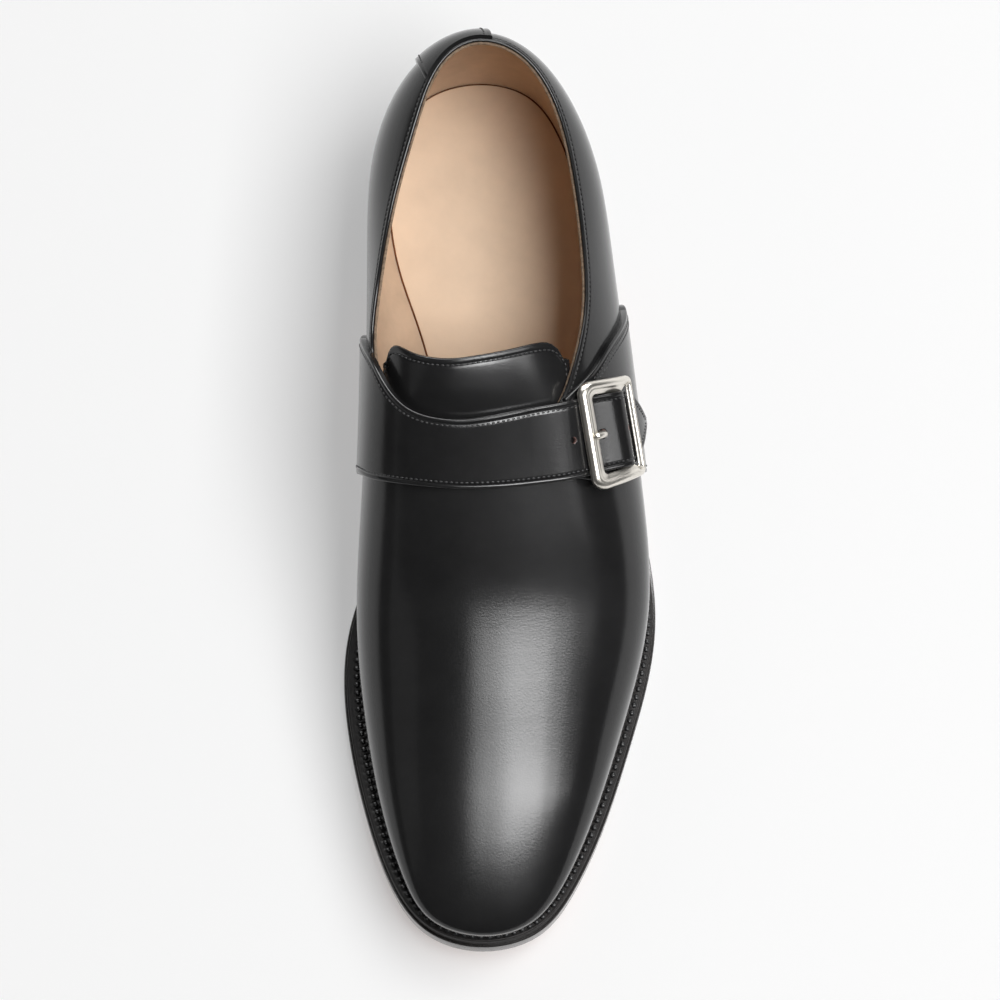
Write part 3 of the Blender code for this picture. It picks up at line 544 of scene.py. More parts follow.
def soft_bump(value):
    """1 at 0, falling softly to 0 at -1 and 1."""
    return np.cos(np.clip(value, -1, 1) * np.pi / 2) ** 2


BUCKLE = band(BUCKLE_Y, BUCKLE_ACROSS)
BUCKLE_OUT = raised(band, BUCKLE_Y, BUCKLE_ACROSS, 1.0) - BUCKLE
STRAP_WAY = band(BUCKLE_Y + 1.0, BUCKLE_ACROSS + 1.0 / STRAP_LEAN) - BUCKLE
STRAP_WAY -= BUCKLE_OUT * STRAP_WAY.dot(BUCKLE_OUT)
STRAP_WAY /= np.linalg.norm(STRAP_WAY)
BAR_WAY = np.cross(BUCKLE_OUT, STRAP_WAY)


def buckle_point(a, b, height):
    """Point at a along the strap and b along the bar from the buckle's middle, on its arch."""
    angle = np.asarray(a)[..., None] / BUCKLE_ARCH
    radius = BUCKLE_ARCH + np.asarray(height)[..., None]
    return (BUCKLE + STRAP_WAY * (radius * np.sin(angle)) + BAR_WAY * np.asarray(b)[..., None]
            + BUCKLE_OUT * (radius * np.cos(angle) - BUCKLE_ARCH))


def length_along(points):
    """Running length of a row of points."""
    return np.concatenate([[0.0], np.cumsum(np.linalg.norm(np.diff(points, axis=0), axis=1))])


def length_property(label, description, default):
    """Length that a user may change."""
    return bpy.props.FloatProperty(
        name=label, description=description, default=default, unit="LENGTH", precision=5)


def colour_property(label, description, default):
    """Colour that a user may change."""
    return bpy.props.FloatVectorProperty(
        name=label, description=description, default=default, subtype="COLOR", min=0, max=1)


class ShoeSizes(bpy.types.PropertyGroup):
    """Sizes of the fine work."""
    stitch_pitch: length_property("Stitch pitch", "Distance between stitches of the upper", 0.0017)
    stitch_width: length_property("Thread width", "Width of the upper's thread", 0.00062)
    stitch_inset: length_property("Stitch inset", "Stitch row inside the edge of a strap", 0.0022)
    welt_pitch: length_property("Welt pitch", "Distance between welt stitches", 0.0028)
    wheel_depth: length_property("Wheel depth", "Depth of the marks between welt stitches", 0.0006)
    sole_pitch: length_property("Sole pitch", "Distance between stitches of the outsole", 0.0031)
    channel_depth: length_property("Channel depth", "Depth of the outsole's stitch channel", 0.0009)


class ShoeColours(bpy.types.PropertyGroup):
    """Colours of the finishes."""
    calf: colour_property("Calf", "Black polished calf", (0.0125, 0.0124, 0.0128))
    lining: colour_property("Lining", "Natural leather lining", (0.65, 0.47, 0.33))
    core: colour_property("Strap core", "Raw leather inside the strap's holes", (0.30, 0.18, 0.16))
    sock: colour_property("Sock", "Natural leather sock on the insole", (0.80, 0.62, 0.46))
    sole: colour_property("Sole", "Tan sole leather", (0.44, 0.165, 0.07))
    sole_border: colour_property("Sole border", "Leather outside the stitch line", (0.26, 0.075, 0.03))
    edge: colour_property("Edge", "Black edge dressing", (0.018, 0.016, 0.0155))
    rubber: colour_property("Rubber", "Black heel rubber", (0.035, 0.032, 0.031))
    nickel: colour_property("Nickel", "Polished buckle", (0.79, 0.755, 0.69))
    thread: colour_property("Thread", "Black thread of the upper", (0.017, 0.017, 0.018))
    sole_thread: colour_property("Sole thread", "Waxed natural thread of the sole", (0.45, 0.33, 0.22))
    nail: colour_property("Nail", "Brass heel nails", (0.66, 0.5, 0.3))
    floor: colour_property("Floor", "Pale studio floor", (0.58, 0.58, 0.58))


class StageSettings(bpy.types.PropertyGroup):
    """Camera and light."""
    elevation: bpy.props.FloatProperty(
        name="Elevation", description="Camera above the floor plane, toe towards the viewer",
        default=np.radians(77.0), subtype="ANGLE")
    distance: bpy.props.FloatProperty(
        name="Distance", description="Camera to the middle of the shoe", default=2.2, unit="LENGTH")
    lens: bpy.props.FloatProperty(
        name="Lens", description="Focal length in millimetres on a 36 mm sensor", default=235.3)
    aim_height: bpy.props.FloatProperty(
        name="Aim height", description="Height that the camera looks at", default=0.030, unit="LENGTH")


def grid_piece(name, net, materials, closed_rows=False, closed_columns=False,
               row_bands=(), column_bands=(), drop=None, marks=None):
    """Piece from a grid whose points follow a net of rows by columns, in millimetres.

    Bands are (first row or column, material index) pairs. drop(row, column) is true for faces that are
    left out. marks are named numbers for each point of the net.
    """
    net = np.asarray(net, float)
    marks = dict(marks or {})
    for axis in [1] * closed_columns + [0] * closed_rows:
        net = np.concatenate([net, net.take([0], axis)], axis)
        for key, value in marks.items():
            marks[key] = np.concatenate([value, value.take([0], axis)], axis)
    rows, columns = net.shape[:2]
    bm = bmesh.new()
    bmesh.ops.create_grid(bm, x_segments=columns - 1, y_segments=rows - 1, size=0.5)
    layers = [(bm.verts.layers.float.new(key), value.ravel()) for key, value in marks.items()]
    for vert, place in zip(bm.verts, net.reshape(-1, 3)):
        vert.co = place
        for layer, values in layers:
            vert[layer] = values[vert.index]
    left_out = []
    for face in bm.faces:
        row, column = divmod(face.index, columns - 1)
        for place, bands in ((row, row_bands), (column, column_bands)):
            for start, index in bands:
                if place >= start:
                    face.material_index = index
        if drop and drop(row, column):
            left_out.append(face)
    bmesh.ops.delete(bm, geom=left_out, context="FACES")
    return finish(name, bm, materials)


def finish(name, bm, materials, sharp=np.radians(50)):
    """Turn a bmesh in millimetres into a named piece that rides on the shoe."""
    bmesh.ops.remove_doubles(bm, verts=bm.verts, dist=0.0005)
    bmesh.ops.dissolve_degenerate(bm, edges=bm.edges, dist=0.0005)
    bmesh.ops.recalc_face_normals(bm, faces=bm.faces)
    if bm.calc_volume(signed=True) < 0:
        bmesh.ops.reverse_faces(bm, faces=bm.faces)
    bmesh.ops.translate(bm, verts=bm.verts, vec=PLAN_SHIFT)
    bmesh.ops.scale(bm, verts=bm.verts, vec=(MM, MM, MM))
    mesh = bpy.data.meshes.new(name)
    bm.to_mesh(mesh)
    bm.free()
    mesh.shade_smooth()
    mesh.set_sharp_from_angle(angle=sharp)
    for material in materials:
        mesh.materials.append(material)
    piece = bpy.data.objects.new(name, mesh)
    bpy.context.collection.objects.link(piece)
    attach(piece, "root")
    return piece


def cut(piece, tool, operation):
    """Apply a Boolean with a tool piece, then remove the tool."""
    change = piece.modifiers.new(operation.title(), "BOOLEAN")
    change.operation = operation
    change.object = tool
    change.solver = "EXACT"
    graph = bpy.context.evaluated_depsgraph_get()
    mesh = bpy.data.meshes.new_from_object(piece.evaluated_get(graph))
    piece.modifiers.clear()
    piece.data = mesh
    bpy.data.objects.remove(tool)


def across_strip(rims, middle):
    """Places across a strip: in over the rims of one edge, over the middle and out over the other edge.

    A place is the share across, followed by what the rim says.
    """
    near = [(0.0, *rim) for rim in rims]
    far = [(1.0, *rim) for rim in reversed(rims)]
    return near + [(share, *rims[-1]) for share in np.linspace(0, 1, middle + 2)[1:-1]] + far


def closed_section(rims, middle):
    """Closed section of a strip: shares across, insets from the edge and heights, top then underside."""
    top = across_strip(rims, middle)
    return np.array(top + [(share, inset, 0.0) for share, inset, _ in reversed(top)])


def slab_section(thick, rounding=0.55, margin=3.0, groove=0.18, middle=18):
    """Closed section of a strap, with rounded edges and a groove under its stitch row."""
    turns = np.radians(np.linspace(0, 90, 5))
    rims = [(rounding * (1 - np.cos(t)), thick - rounding * (1 - np.sin(t))) for t in turns]
    rims += [(1.15, thick), (1.45, thick - groove), (1.8, thick), (margin, thick)]
    return closed_section(rims, middle)


def closed_ends(middle, lift, *nets):
    """Heights and nets with each end row twice, the outermost at a middle height to close the ends."""
    rows = np.concatenate([[0], np.arange(len(lift)), [len(lift) - 1]])
    lift = lift[rows]
    lift[[0, -1]] = middle
    return [lift] + [net[rows] for net in nets]


def edge_scale(surface, edge, b):
    """Millimetres square to an edge for each unit of the surface's first place."""
    a = edge(b)
    along, _, _ = facing(surface, a, b)
    way = surface(edge(b + CLIMB_STEP), b + CLIMB_STEP) - surface(edge(b - CLIMB_STEP), b - CLIMB_STEP)
    return np.linalg.norm(np.cross(along, unit(way)), axis=-1)


def slab_places(surface, low, high, b, share, inset):
    """First places on a surface between two edges, for shares across and insets from the edges."""
    scales = edge_scale(surface, low, b), edge_scale(surface, high, b)
    width = (high(b) - low(b)) * np.minimum(*scales)
    inset = inset * np.minimum(INSET_LIMIT * width / np.max(inset), 1)
    near = low(b) + inset / scales[0]
    far = high(b) - inset / scales[1]
    return near + (far - near) * share


def slab(name, surface, low, high, b, section, base, materials):
    """Strip of leather on a surface, closed at both ends."""
    share, inset, height = section.T[:, None, :]
    b = np.asarray(b)[:, None]
    a = slab_places(surface, low, high, b, share, inset)
    lift, a, b = closed_ends(height.max() / 2, np.broadcast_to(height, a.shape), a,
                             np.broadcast_to(b, a.shape))
    return grid_piece(name, raised(surface, a, b, base(a, b) + lift), materials, closed_columns=True)


def stitches(path, normals, pitch, size, slant=0.0, share=0.72):
    """Places of thread stitches along a path: beads of (width, height) that lie on the leather."""
    length = length_along(path)
    count = max(int(round(length[-1] / pitch)), 1)
    spots = (np.arange(count) + 0.5) * length[-1] / count

    def sample(values):
        return np.stack([np.interp(spots, length, values[:, k]) for k in range(3)], -1)
    out = unit(sample(normals))
    way = unit(sample(np.gradient(path, length, axis=0)))
    way = unit(way - out * (way * out).sum(-1, keepdims=True))
    turned = way * np.cos(slant) + np.cross(out, way) * np.sin(slant)
    side = np.cross(out, turned)
    return np.stack([turned * pitch * share / 2, side * size[0] / 2, out * size[1] / 2, sample(path)], -1)


def bead_piece(name, places, material, segments=8, rings=5):
    """Piece of many small beads, one for each place (three half axes and a middle)."""
    bm = bmesh.new()
    bmesh.ops.create_uvsphere(bm, u_segments=segments, v_segments=rings, radius=1.0)
    shape = np.array([vert.co for vert in bm.verts])
    bead = bm.verts[:] + bm.edges[:] + bm.faces[:]
    for _ in range(len(places) - 1):
        bmesh.ops.duplicate(bm, geom=bead)
    spots = np.einsum("nij,vj->nvi", places[:, :, :3], shape) + places[:, None, :, 3]
    for vert, spot in zip(bm.verts, spots.reshape(-1, 3)):
        vert.co = spot
    return finish(name, bm, [material])


def plan(turn_out, turn_in, share, inset):
    """Places in plan between the inner and the outer edge of the sole."""
    x_in, y_in = sole_edge(turn_in, inset)
    x_out, y_out = sole_edge(turn_out, inset)
    return x_in + (x_out - x_in) * share, y_in + (y_out - y_in) * share


def put(socket, value):
    """Feed a node's input with another node's output, or with a value of its own."""
    if isinstance(value, bpy.types.NodeSocket):
        socket.id_data.links.new(value, socket)
    else:
        socket.default_value = value


def node(tree, kind, inputs, **settings):
    """New node with its settings and its inputs, by name or number; returns its outputs."""
    made = tree.nodes.new(kind)
    for key, value in settings.items():
        setattr(made, key, value)
    for key, value in inputs.items():
        put(made.inputs[key], value)
    return made.outputs


def new_material(name):
    """Material with a Principled shader: its node tree and the shader's inputs."""
    material = bpy.data.materials.new(name)
    material.use_nodes = True
    return material.node_tree, material.node_tree.nodes["Principled BSDF"].inputs


def object_place(tree):
    """Object coordinates of a material."""
    return node(tree, "ShaderNodeTexCoord", {})["Object"]


def mask(tree, value, low, high):
    """Share of a value between two bounds."""
    return node(tree, "ShaderNodeMapRange", {"Value": value, "From Min": low, "From Max": high})["Result"]


def between(tree, share, low, high):
    """Value between two ends, by a share."""
    return node(tree, "ShaderNodeMapRange", {"Value": share, "To Min": low, "To Max": high})["Result"]


def blend(tree, share, first, second, kind="MIX"):
    """Colour between two colours, by a share."""
    return node(tree, "ShaderNodeMix", {"Factor": share, 6: first, 7: second},
                data_type="RGBA", blend_type=kind)[2]


def group_tree(name, inputs, outputs):
    """Shader node group with named sockets: its tree, what it is given and what it gives."""
    tree = bpy.data.node_groups.new(name, "ShaderNodeTree")
    for way, sockets in (("INPUT", inputs), ("OUTPUT", outputs)):
        for label, kind in sockets.items():
            tree.interface.new_socket(label, in_out=way, socket_type=f"NodeSocket{kind}")
    return tree, tree.nodes.new("NodeGroupInput").outputs, tree.nodes.new("NodeGroupOutput").inputs


def grain_group():
    """Leather grain: soft swells drawn out across the shoe and fine pores; a height and a pore mask."""
    tree, given, gives = group_tree(
        "Leather grain", {"Vector": "Vector", "Scale": "Float"}, {"Height": "Float", "Pores": "Float"})
    drawn = node(tree, "ShaderNodeVectorMath", {0: given["Vector"], 1: (0.35, 1.0, 1.0)},
                 operation="MULTIPLY")
    swells = node(tree, "ShaderNodeTexNoise",
                  {"Vector": drawn[0], "Scale": 90.0, "Detail": 2.0, "Roughness": 0.5})
    fine = node(tree, "ShaderNodeTexNoise",
                {"Vector": given["Vector"], "Scale": given["Scale"], "Detail": 3.0, "Roughness": 0.55})
    height = node(tree, "ShaderNodeMath", {0: swells[0], 1: 1.3, 2: fine[0]}, operation="MULTIPLY_ADD")
    put(gives["Height"], height[0])
    put(gives["Pores"], mask(tree, fine[0], 0.35, 0.75))
    return tree


def mottle_group():
    """Cloudy change between two colours, as dye takes on leather."""
    tree, given, gives = group_tree(
        "Dye mottle", {"Vector": "Vector", "Scale": "Float", "Dark": "Color", "Light": "Color"},
        {"Color": "Color", "Cloud": "Float"})
    noise = node(tree, "ShaderNodeTexNoise",
                 {"Vector": given["Vector"], "Scale": given["Scale"], "Detail": 6.0, "Roughness": 0.62})
    cloud = mask(tree, noise[0], 0.3, 0.7)
    put(gives["Color"], blend(tree, cloud, given["Dark"], given["Light"]))
    put(gives["Cloud"], cloud)
    return tree


def place_group(tree, name, maker, inputs):
    """Outputs of a group that is built once and placed in a material, with its inputs."""
    group = bpy.data.node_groups.get(name) or maker()
    return node(tree, "ShaderNodeGroup", {"Vector": object_place(tree), **inputs}, node_tree=group)


def shade(colour, factor):
    """Colour made lighter or darker, with alpha."""
    return tuple(min(channel * factor, 1.0) for channel in colour) + (1.0,)


def mottled(tree, colour, dark, light, scale):
    """Dye between a darker and a lighter shade of a colour: its colour and its clouds."""
    return place_group(tree, "Dye mottle", mottle_group,
                       {"Scale": scale, "Dark": shade(colour, dark), "Light": shade(colour, light)})


def leather(name, colour, dark, light, cloud, roughness, grain, depth,
            coat=0.0, coat_roughness=0.1, shine=0.5):
    """Leather: mottled dye, grain that bumps the surface and roughness that follows its pores.

    dark and light are shades of the colour, cloud and grain are scales for each metre, roughness is that
    between and in the pores, and depth is the grain's height.
    """
    tree, shader = new_material(name)
    dye = mottled(tree, colour, dark, light, cloud)["Color"]
    skin = place_group(tree, "Leather grain", grain_group, {"Scale": grain})
    bump = node(tree, "ShaderNodeBump", {"Strength": 1.0, "Distance": depth, "Height": skin["Height"]})
    put(shader["Base Color"], dye)
    put(shader["Roughness"], between(tree, skin["Pores"], *roughness))
    put(shader["Normal"], bump["Normal"])
    put(shader["Specular IOR Level"], shine)
    put(shader["Coat Weight"], coat)
    put(shader["Coat Roughness"], coat_roughness)
    return tree, shader, dye


PRESSED = (0.3, 0.22, 0.2, 1.0)  # tint of pressed marks


def sole_finish(name, colour, border):
    """Waxed sole leather: a darker border and darker pressed marks, from the piece's own marks."""
    tree, shader, dye = leather(name, colour, 0.84, 1.12, 24.0, (0.38, 0.52), 700.0, 0.00003, 0.15, 0.25)
    edge, pressed = [node(tree, "ShaderNodeAttribute", {}, attribute_name=mark)["Fac"]
                     for mark in ("border", "pressed")]
    stained = blend(tree, edge, dye, mottled(tree, border, 0.75, 1.45, 110.0)["Color"])
    put(shader["Base Color"], blend(tree, pressed, stained, PRESSED, "MULTIPLY"))


def metal(name, colour, roughness):
    """Polished metal with faint wear."""
    tree, shader = new_material(name)
    dye = mottled(tree, colour, 0.96, 1.03, 60.0)
    put(shader["Metallic"], 1.0)
    put(shader["Base Color"], dye["Color"])
    put(shader["Roughness"], between(tree, dye["Cloud"], *roughness))


def make_finishes(tint):
    """Leathers, threads, rubber and metals of the shoe."""
    leather("polished_calf", tint.calf, 0.8, 1.3, 40.0, (0.14, 0.18), 1700.0, 0.000022, 0.12, 0.36, 0.36)
    leather("natural_lining", tint.lining, 0.88, 1.08, 70.0, (0.75, 0.9), 1800.0, 0.00004, shine=0.1)
    leather("raw_edge", tint.lining, 0.2, 0.65, 900.0, (0.8, 0.95), 1500.0, 0.0002, shine=0.1)
    # the sock's edge band: sole leather made darker, painted shade of the gap beside the lining
    leather("sock_edge", tint.sole, 0.3, 0.55, 300.0, (0.8, 0.95), 1500.0, 0.00005, shine=0.1)
    leather("tan_sock", tint.sock, 0.9, 1.06, 28.0, (0.68, 0.82), 1500.0, 0.00003, shine=0.1)
    leather("strap_core", tint.core, 0.8, 1.15, 400.0, (0.7, 0.85), 1500.0, 0.00008)
    leather("black_edge", tint.edge, 0.7, 1.4, 120.0, (0.42, 0.58), 1300.0, 0.00003, shine=0.25)
    leather("polished_edge", tint.edge, 0.8, 1.5, 120.0, (0.2, 0.3), 900.0, 0.00001, 0.7, 0.15)
    leather("black_thread", tint.thread, 0.7, 1.3, 600.0, (0.34, 0.46), 3000.0, 0.00004)
    leather("sole_thread", tint.sole_thread, 0.5, 1.25, 500.0, (0.5, 0.7), 2500.0, 0.00008)
    leather("black_rubber", tint.rubber, 0.85, 1.15, 90.0, (0.6, 0.78), 1600.0, 0.00003)
    sole_finish("waxed_sole", tint.sole, tint.sole_border)
    sole_finish("heel_leather", shade(tint.sole, 1.18)[:3], tint.sole_border)
    leather("breast_leather", shade(tint.sole, 0.28)[:3], 0.7, 1.25, 120.0, (0.4, 0.6), 900.0, 0.00005)
    metal("polished_nickel", tint.nickel, (0.27, 0.33))
    metal("brass", tint.nail, (0.25, 0.4))


def finishes():
    """Every finish of the shoe, by name, built once."""
    if "polished_calf" not in bpy.data.materials:
        make_finishes(bpy.context.scene.shoe_colours)
    return {material.name: material for material in bpy.data.materials}


def by_side(turn, inner, outer):
    """Values of an inner and an outer curve, for turns round the last."""
    turn = np.mod(turn, 360)
    side = np.minimum(turn, 360 - turn)
    return np.where(turn <= 180, outer(side), inner(side))


def collar_climb(turn):
    """How far up its rib the collar lies."""
    return by_side(turn, COLLAR_IN, COLLAR_OUT)


def upper_net():
    """Net of the upper's wall: up the outside, over the rolled collar edge and down the lining."""
    turn = np.arange(UPPER_COLUMNS) * 360 / UPPER_COLUMNS
    side = np.minimum(turn, 360 - turn)
    closed = side >= THROAT
    top = np.where(closed, 1.0, collar_climb(turn))
    _, over, out = facing(rib, turn, top)
    fade = np.clip((THROAT - side) / RIM_FADE, 0, 1)
    brim = top - RIM_START * fade / np.linalg.norm(over, axis=-1)
    rows = [on_sole(turn, SEAT(turn), OUTSOLE + GAP + WELT - TUCK[0])]
    rows += [rib(turn, np.full(len(turn), climb)) for climb in np.linspace(-1, 0, FOOT_ROWS)[:-1]]
    rows += [rib(turn, brim * share) for share in np.linspace(0, 1, WALL_ROWS)]
    first_rim = len(rows)
    edge = rib(turn, top)
    for index, (up, outward) in enumerate(RIM):
        sunk = -WALL * (index + 1) / (len(RIM) + 1)
        rows.append(edge + unit(over) * (up * fade)[:, None]
                    + out * (outward * fade + sunk * (1 - fade))[:, None])
    first_lining = len(rows)
    rows += [raised(rib, turn, brim * share, np.full(len(turn), -WALL))
             for share in np.linspace(1, 0, LINING_ROWS)]
    for row in rows[first_rim:first_lining + 1]:
        row[closed] = (row[closed] + row[-np.arange(len(turn))[closed]]) / 2
    rows += [raised(rib, turn, np.full(len(turn), climb), np.full(len(turn), -WALL))
             for climb in np.linspace(0, -1, FOOT_ROWS)[1:-1]]
    rows.append(on_sole(turn, SEAT(turn) + WALL, OUTSOLE + GAP + INSOLE - TUCK[1]))
    return np.array(rows), first_rim, first_lining


def build_upper(look):
    """Vamp and quarters with their rolled edge and lining, one closed wall."""
    net, first_rim, first_lining = upper_net()
    throat = int(THROAT / 360 * UPPER_COLUMNS)

    def inside_crest(row, column):
        return first_rim - 1 <= row < first_lining and throat <= column < UPPER_COLUMNS - throat
    materials = [look["polished_calf"], look["raw_edge"], look["natural_lining"]]
    piece = grid_piece("upper_leather", net, materials,
                       closed_rows=True, closed_columns=True, drop=inside_crest,
                       row_bands=((first_lining - RAW_EDGE - 1, 1), (first_lining - 1, 2)))
    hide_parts("upper")


def tongue_half(rise):
    """Half width of the tongue, as a place across."""
    return TONGUE_HALF[0] + (TONGUE_HALF[1] - TONGUE_HALF[0]) * smooth_step(rise, 0.0, TONGUE_FLARE)


def tongue_place(share, rise, inset):
    """Place along and across of the tongue, for shares across (0 to 1) and rise (0 to 1)."""
    spread = 2 * share - 1
    top = TONGUE_TOP + TONGUE_DIP * spread ** 2 + TONGUE_TILT * spread
    top = top - TONGUE_CORNER * spread ** CORNER_POWER
    y = TONGUE_FOOT + (top - TONGUE_FOOT) * rise
    across = TONGUE_MIDDLE + tongue_half(rise) * spread
    reach = np.linalg.norm(facing(band, y, across)[1], axis=-1)
    return y, across - spread * inset / reach


def tongue_height(y, across, rise):
    """Height of the tongue's upper face against the upper's outer face."""
    spread = (across - TONGUE_MIDDLE) / tongue_half(rise)
    crown = np.clip(1 - (spread / CROWN_HALF) ** 2, 0, None) ** 2 * smooth_step(y, *CROWN_RAMP)
    return -WALL - GAP - FACET + TONGUE_CROWN * crown


def build_tongue(look):
    """Tongue with rounded edges and a sewn line near its top."""
    section = slab_section(TONGUE, rounding=TONGUE_ROUND, margin=3.0, groove=0.0, middle=40)
    share, inset, height = section.T[:, None, :]
    rise = np.concatenate([np.linspace(0, 0.94, 60), np.linspace(0.945, 1.0, 14)])[:, None]
    y, across = tongue_place(share, rise, inset)
    base = tongue_height(y, across, np.broadcast_to(rise, y.shape)) - TONGUE
    to_edge = (1 - rise) * (TONGUE_TOP - TONGUE_FOOT)
    trim = np.clip(TONGUE_ROUND - to_edge, 0, None)
    round_off = TONGUE_ROUND - np.sqrt(np.clip(TONGUE_ROUND ** 2 - trim ** 2, 0, None))
    depth, place, half = TONGUE_LINE
    sewn = depth * np.exp(-((to_edge - place) / half) ** 2)
    lift = np.where(height > TONGUE / 2, height - round_off - sewn, height)
    lift, y, across, base = closed_ends(TONGUE / 2, lift, y, across, base)
    piece = grid_piece("tongue_leather", raised(band, y, across, base + lift),
                       [look["polished_calf"], look["natural_lining"]], closed_columns=True,
                       column_bands=((len(section) // 2, 1), (len(section) - 1, 0)))
    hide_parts("tongue")


def edges_of(table):
    """Rear and front edge of a band as functions of the place across."""
    curves = []
    for column in (1, 2):
        slopes = [(b[column] - a[column]) / (b[0] - a[0]) for a, b in zip(table, table[1:])]
        curves.append(spline(table, column, slopes[0], slopes[-1]))
    return curves


def strap_edges():
    """Rear and front edge of the strap with its pointed end."""
    rear, front = edges_of(STRAP)

    def taper(across):
        share = np.clip((across - STRAP[-1][0]) / (STRAP_TIP[0] - STRAP[-1][0]), 0, 1)
        return share ** TIP_POWER

    def tapered_rear(across):
        return rear(across) + (STRAP_TIP[1] + TIP_BLUNT - rear(across)) * taper(across)

    def tapered_front(across):
        return front(across) + (STRAP_TIP[1] - TIP_BLUNT - front(across)) * taper(across)
    return tapered_rear, tapered_front


def strap_base(y, across):
    """Height of the strap's underside: on the upper, up onto the tab and over the centre bar."""
    along = (band(y, across) - BUCKLE) @ STRAP_WAY - HUMP_AT
    lift = (OVERLAY + GAP) * smooth_step(across, *LAP_RAMP)
    hump = soft_bump(along / np.where(along < 0, *HUMP_HALF))
    return SEATED + lift + np.where(across > 0, STRAP_HUMP * hump, 0)


def tab_base(y, across):
    """Height of the tab's underside."""
    return np.full(np.broadcast(y, across).shape, SEATED)


def strap_rows():
    """Places across at which the strap's sections stand."""
    return np.concatenate([np.linspace(STRAP[0][0], 0.2, 150), np.linspace(0.2, STRAP[-1][0], 110)[1:],
                           np.linspace(STRAP[-1][0], STRAP_TIP[0], 40)[1:]])


def build_strap(look):
    """Strap with its flared base, pointed end and punched holes."""
    rear, front = strap_edges()
    piece = slab("strap_leather", band, front, rear, strap_rows(),
                 slab_section(STRAP_THICK, middle=30), strap_base, [look["polished_calf"]])
    bm = bmesh.new()
    for place in HOLES:
        radius = PRONG_HOLE if place == HOLES[1] else STRAP_HOLE
        low, high = [Vector(buckle_point(place, 0.0, h)) for h in (-HOLE_REACH, 2 * HOLE_REACH)]
        turn = (high - low).to_track_quat("Z", "Y").to_matrix().to_4x4()
        matrix = Matrix.Translation((low + high) / 2) @ turn
        bmesh.ops.create_cone(bm, cap_ends=True, segments=24, radius1=radius, radius2=radius,
                              depth=(high - low).length, matrix=matrix)
    tool = finish("hole_punch", bm, [look["strap_core"]])
    piece.data.materials.append(look["strap_core"])
    cut(piece, tool, "DIFFERENCE")
    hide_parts("strap")


def build_tab(look):
    """Outer base, from the welt up to the buckle that it carries."""
    rear, front = edges_of(TAB)
    rows = np.linspace(TAB[0][0], TAB[-1][0], 150)
    piece = slab("tab_leather", band, front, rear, rows,
                 slab_section(STRAP_THICK, middle=36), tab_base, [look["polished_calf"]])
    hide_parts("buckle_tab")


def back_edges():
    """Edges of the back strap, in turns, for a climb."""
    def half(climb):
        share = np.clip((climb - BACK_FOOT) / (BACK_TOP - BACK_FOOT), 0, 1)
        return BACK_HALF_LOW + (BACK_HALF_TOP - BACK_HALF_LOW) * share ** 2
    return (lambda climb: BACK_TURN - half(climb)), (lambda climb: BACK_TURN + half(climb))


def build_back_strap(look):
    """Strip over the centre-back seam, up to the collar's bead."""
    section = slab_section(BACK_STRAP, rounding=0.45, margin=2.4, groove=0.12, middle=14)
    share, inset, height = section.T[:, None, :]
    steps = np.linspace(0, 1, 60)[:, None]
    guess = BACK_FOOT + steps * (BACK_TOP - BACK_FOOT)
    turn = slab_places(rib, *back_edges(), guess, share, inset)
    climb = BACK_FOOT + steps * (collar_climb(turn) - BACK_BELOW - BACK_FOOT)
    lift, turn, climb = closed_ends(BACK_STRAP / 2, np.broadcast_to(height, turn.shape), turn, climb)
    piece = grid_piece("back_strap_leather", raised(rib, turn, climb, lift + SEATED),
                       [look["polished_calf"]], closed_columns=True)
    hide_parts("back_strap")


def seam_path(surface, low, high, b, share, inset, base, height):
    """Path and normals of a stitch row beside an edge."""
    a = slab_places(surface, low, high, b, share, inset)
    out = facing(surface, a, b)[2]
    return surface(a, b) + out * (base(a, b) + height)[:, None], out


def build_upper_seams(look):
    """Stitch rows of strap, tab, tongue, back strap and collar."""
    sizes = bpy.context.scene.shoe_sizes
    pitch, width, inset = sizes.stitch_pitch / MM, sizes.stitch_width / MM, sizes.stitch_inset / MM
    size = (width, width * THREAD_RISE)
    paths = []
    rear, front = strap_edges()
    rows = np.linspace(STRAP[0][0] + STRAP_SEAM[0], STRAP_TIP[0] - STRAP_SEAM[1], 400)
    for share in (0.0, 1.0):
        paths.append(seam_path(band, front, rear, rows, share, inset, strap_base, STRAP_THICK))
    rear, front = edges_of(TAB)
    rows = np.linspace(TAB[2][0], TAB[-1][0], 200)
    for share, room in ((0.0, inset), (1.0, inset), (1.0, inset + TAB_SEAM)):
        paths.append(seam_path(band, front, rear, rows, share, room, tab_base, STRAP_THICK))
    rows = np.linspace(BACK_FOOT + BACK_SEAM_ENDS[0], BACK_SEAM_ENDS[1], 120)
    for share in (0.0, 1.0):
        paths.append(seam_path(rib, *back_edges(), rows, share, BACK_SEAM, tab_base, BACK_STRAP))
    end, corner, top = TONGUE_SEAM
    rise = np.concatenate([np.linspace(end, corner, 60), np.full(160, top), np.linspace(corner, end, 60)])
    share = np.concatenate([np.zeros(60), np.linspace(0, 1, 160), np.ones(60)])
    y, across = tongue_place(share, rise, inset)
    out = facing(band, y, across)[2]
    paths.append((band(y, across) + out * tongue_height(y, across, rise)[:, None], out))
    turn = np.linspace(THROAT - COLLAR_SEAM_END, COLLAR_SEAM_END - THROAT, 900)
    climb = collar_climb(turn)
    _, over, out = facing(rib, turn, climb)
    paths.append((rib(turn, climb) - unit(over) * COLLAR_SEAM[0] - out * COLLAR_SEAM[1], out))
    places = np.concatenate([stitches(path, out, pitch, size) for path, out in paths])
    piece = bead_piece("upper_stitches", places, look["black_thread"])


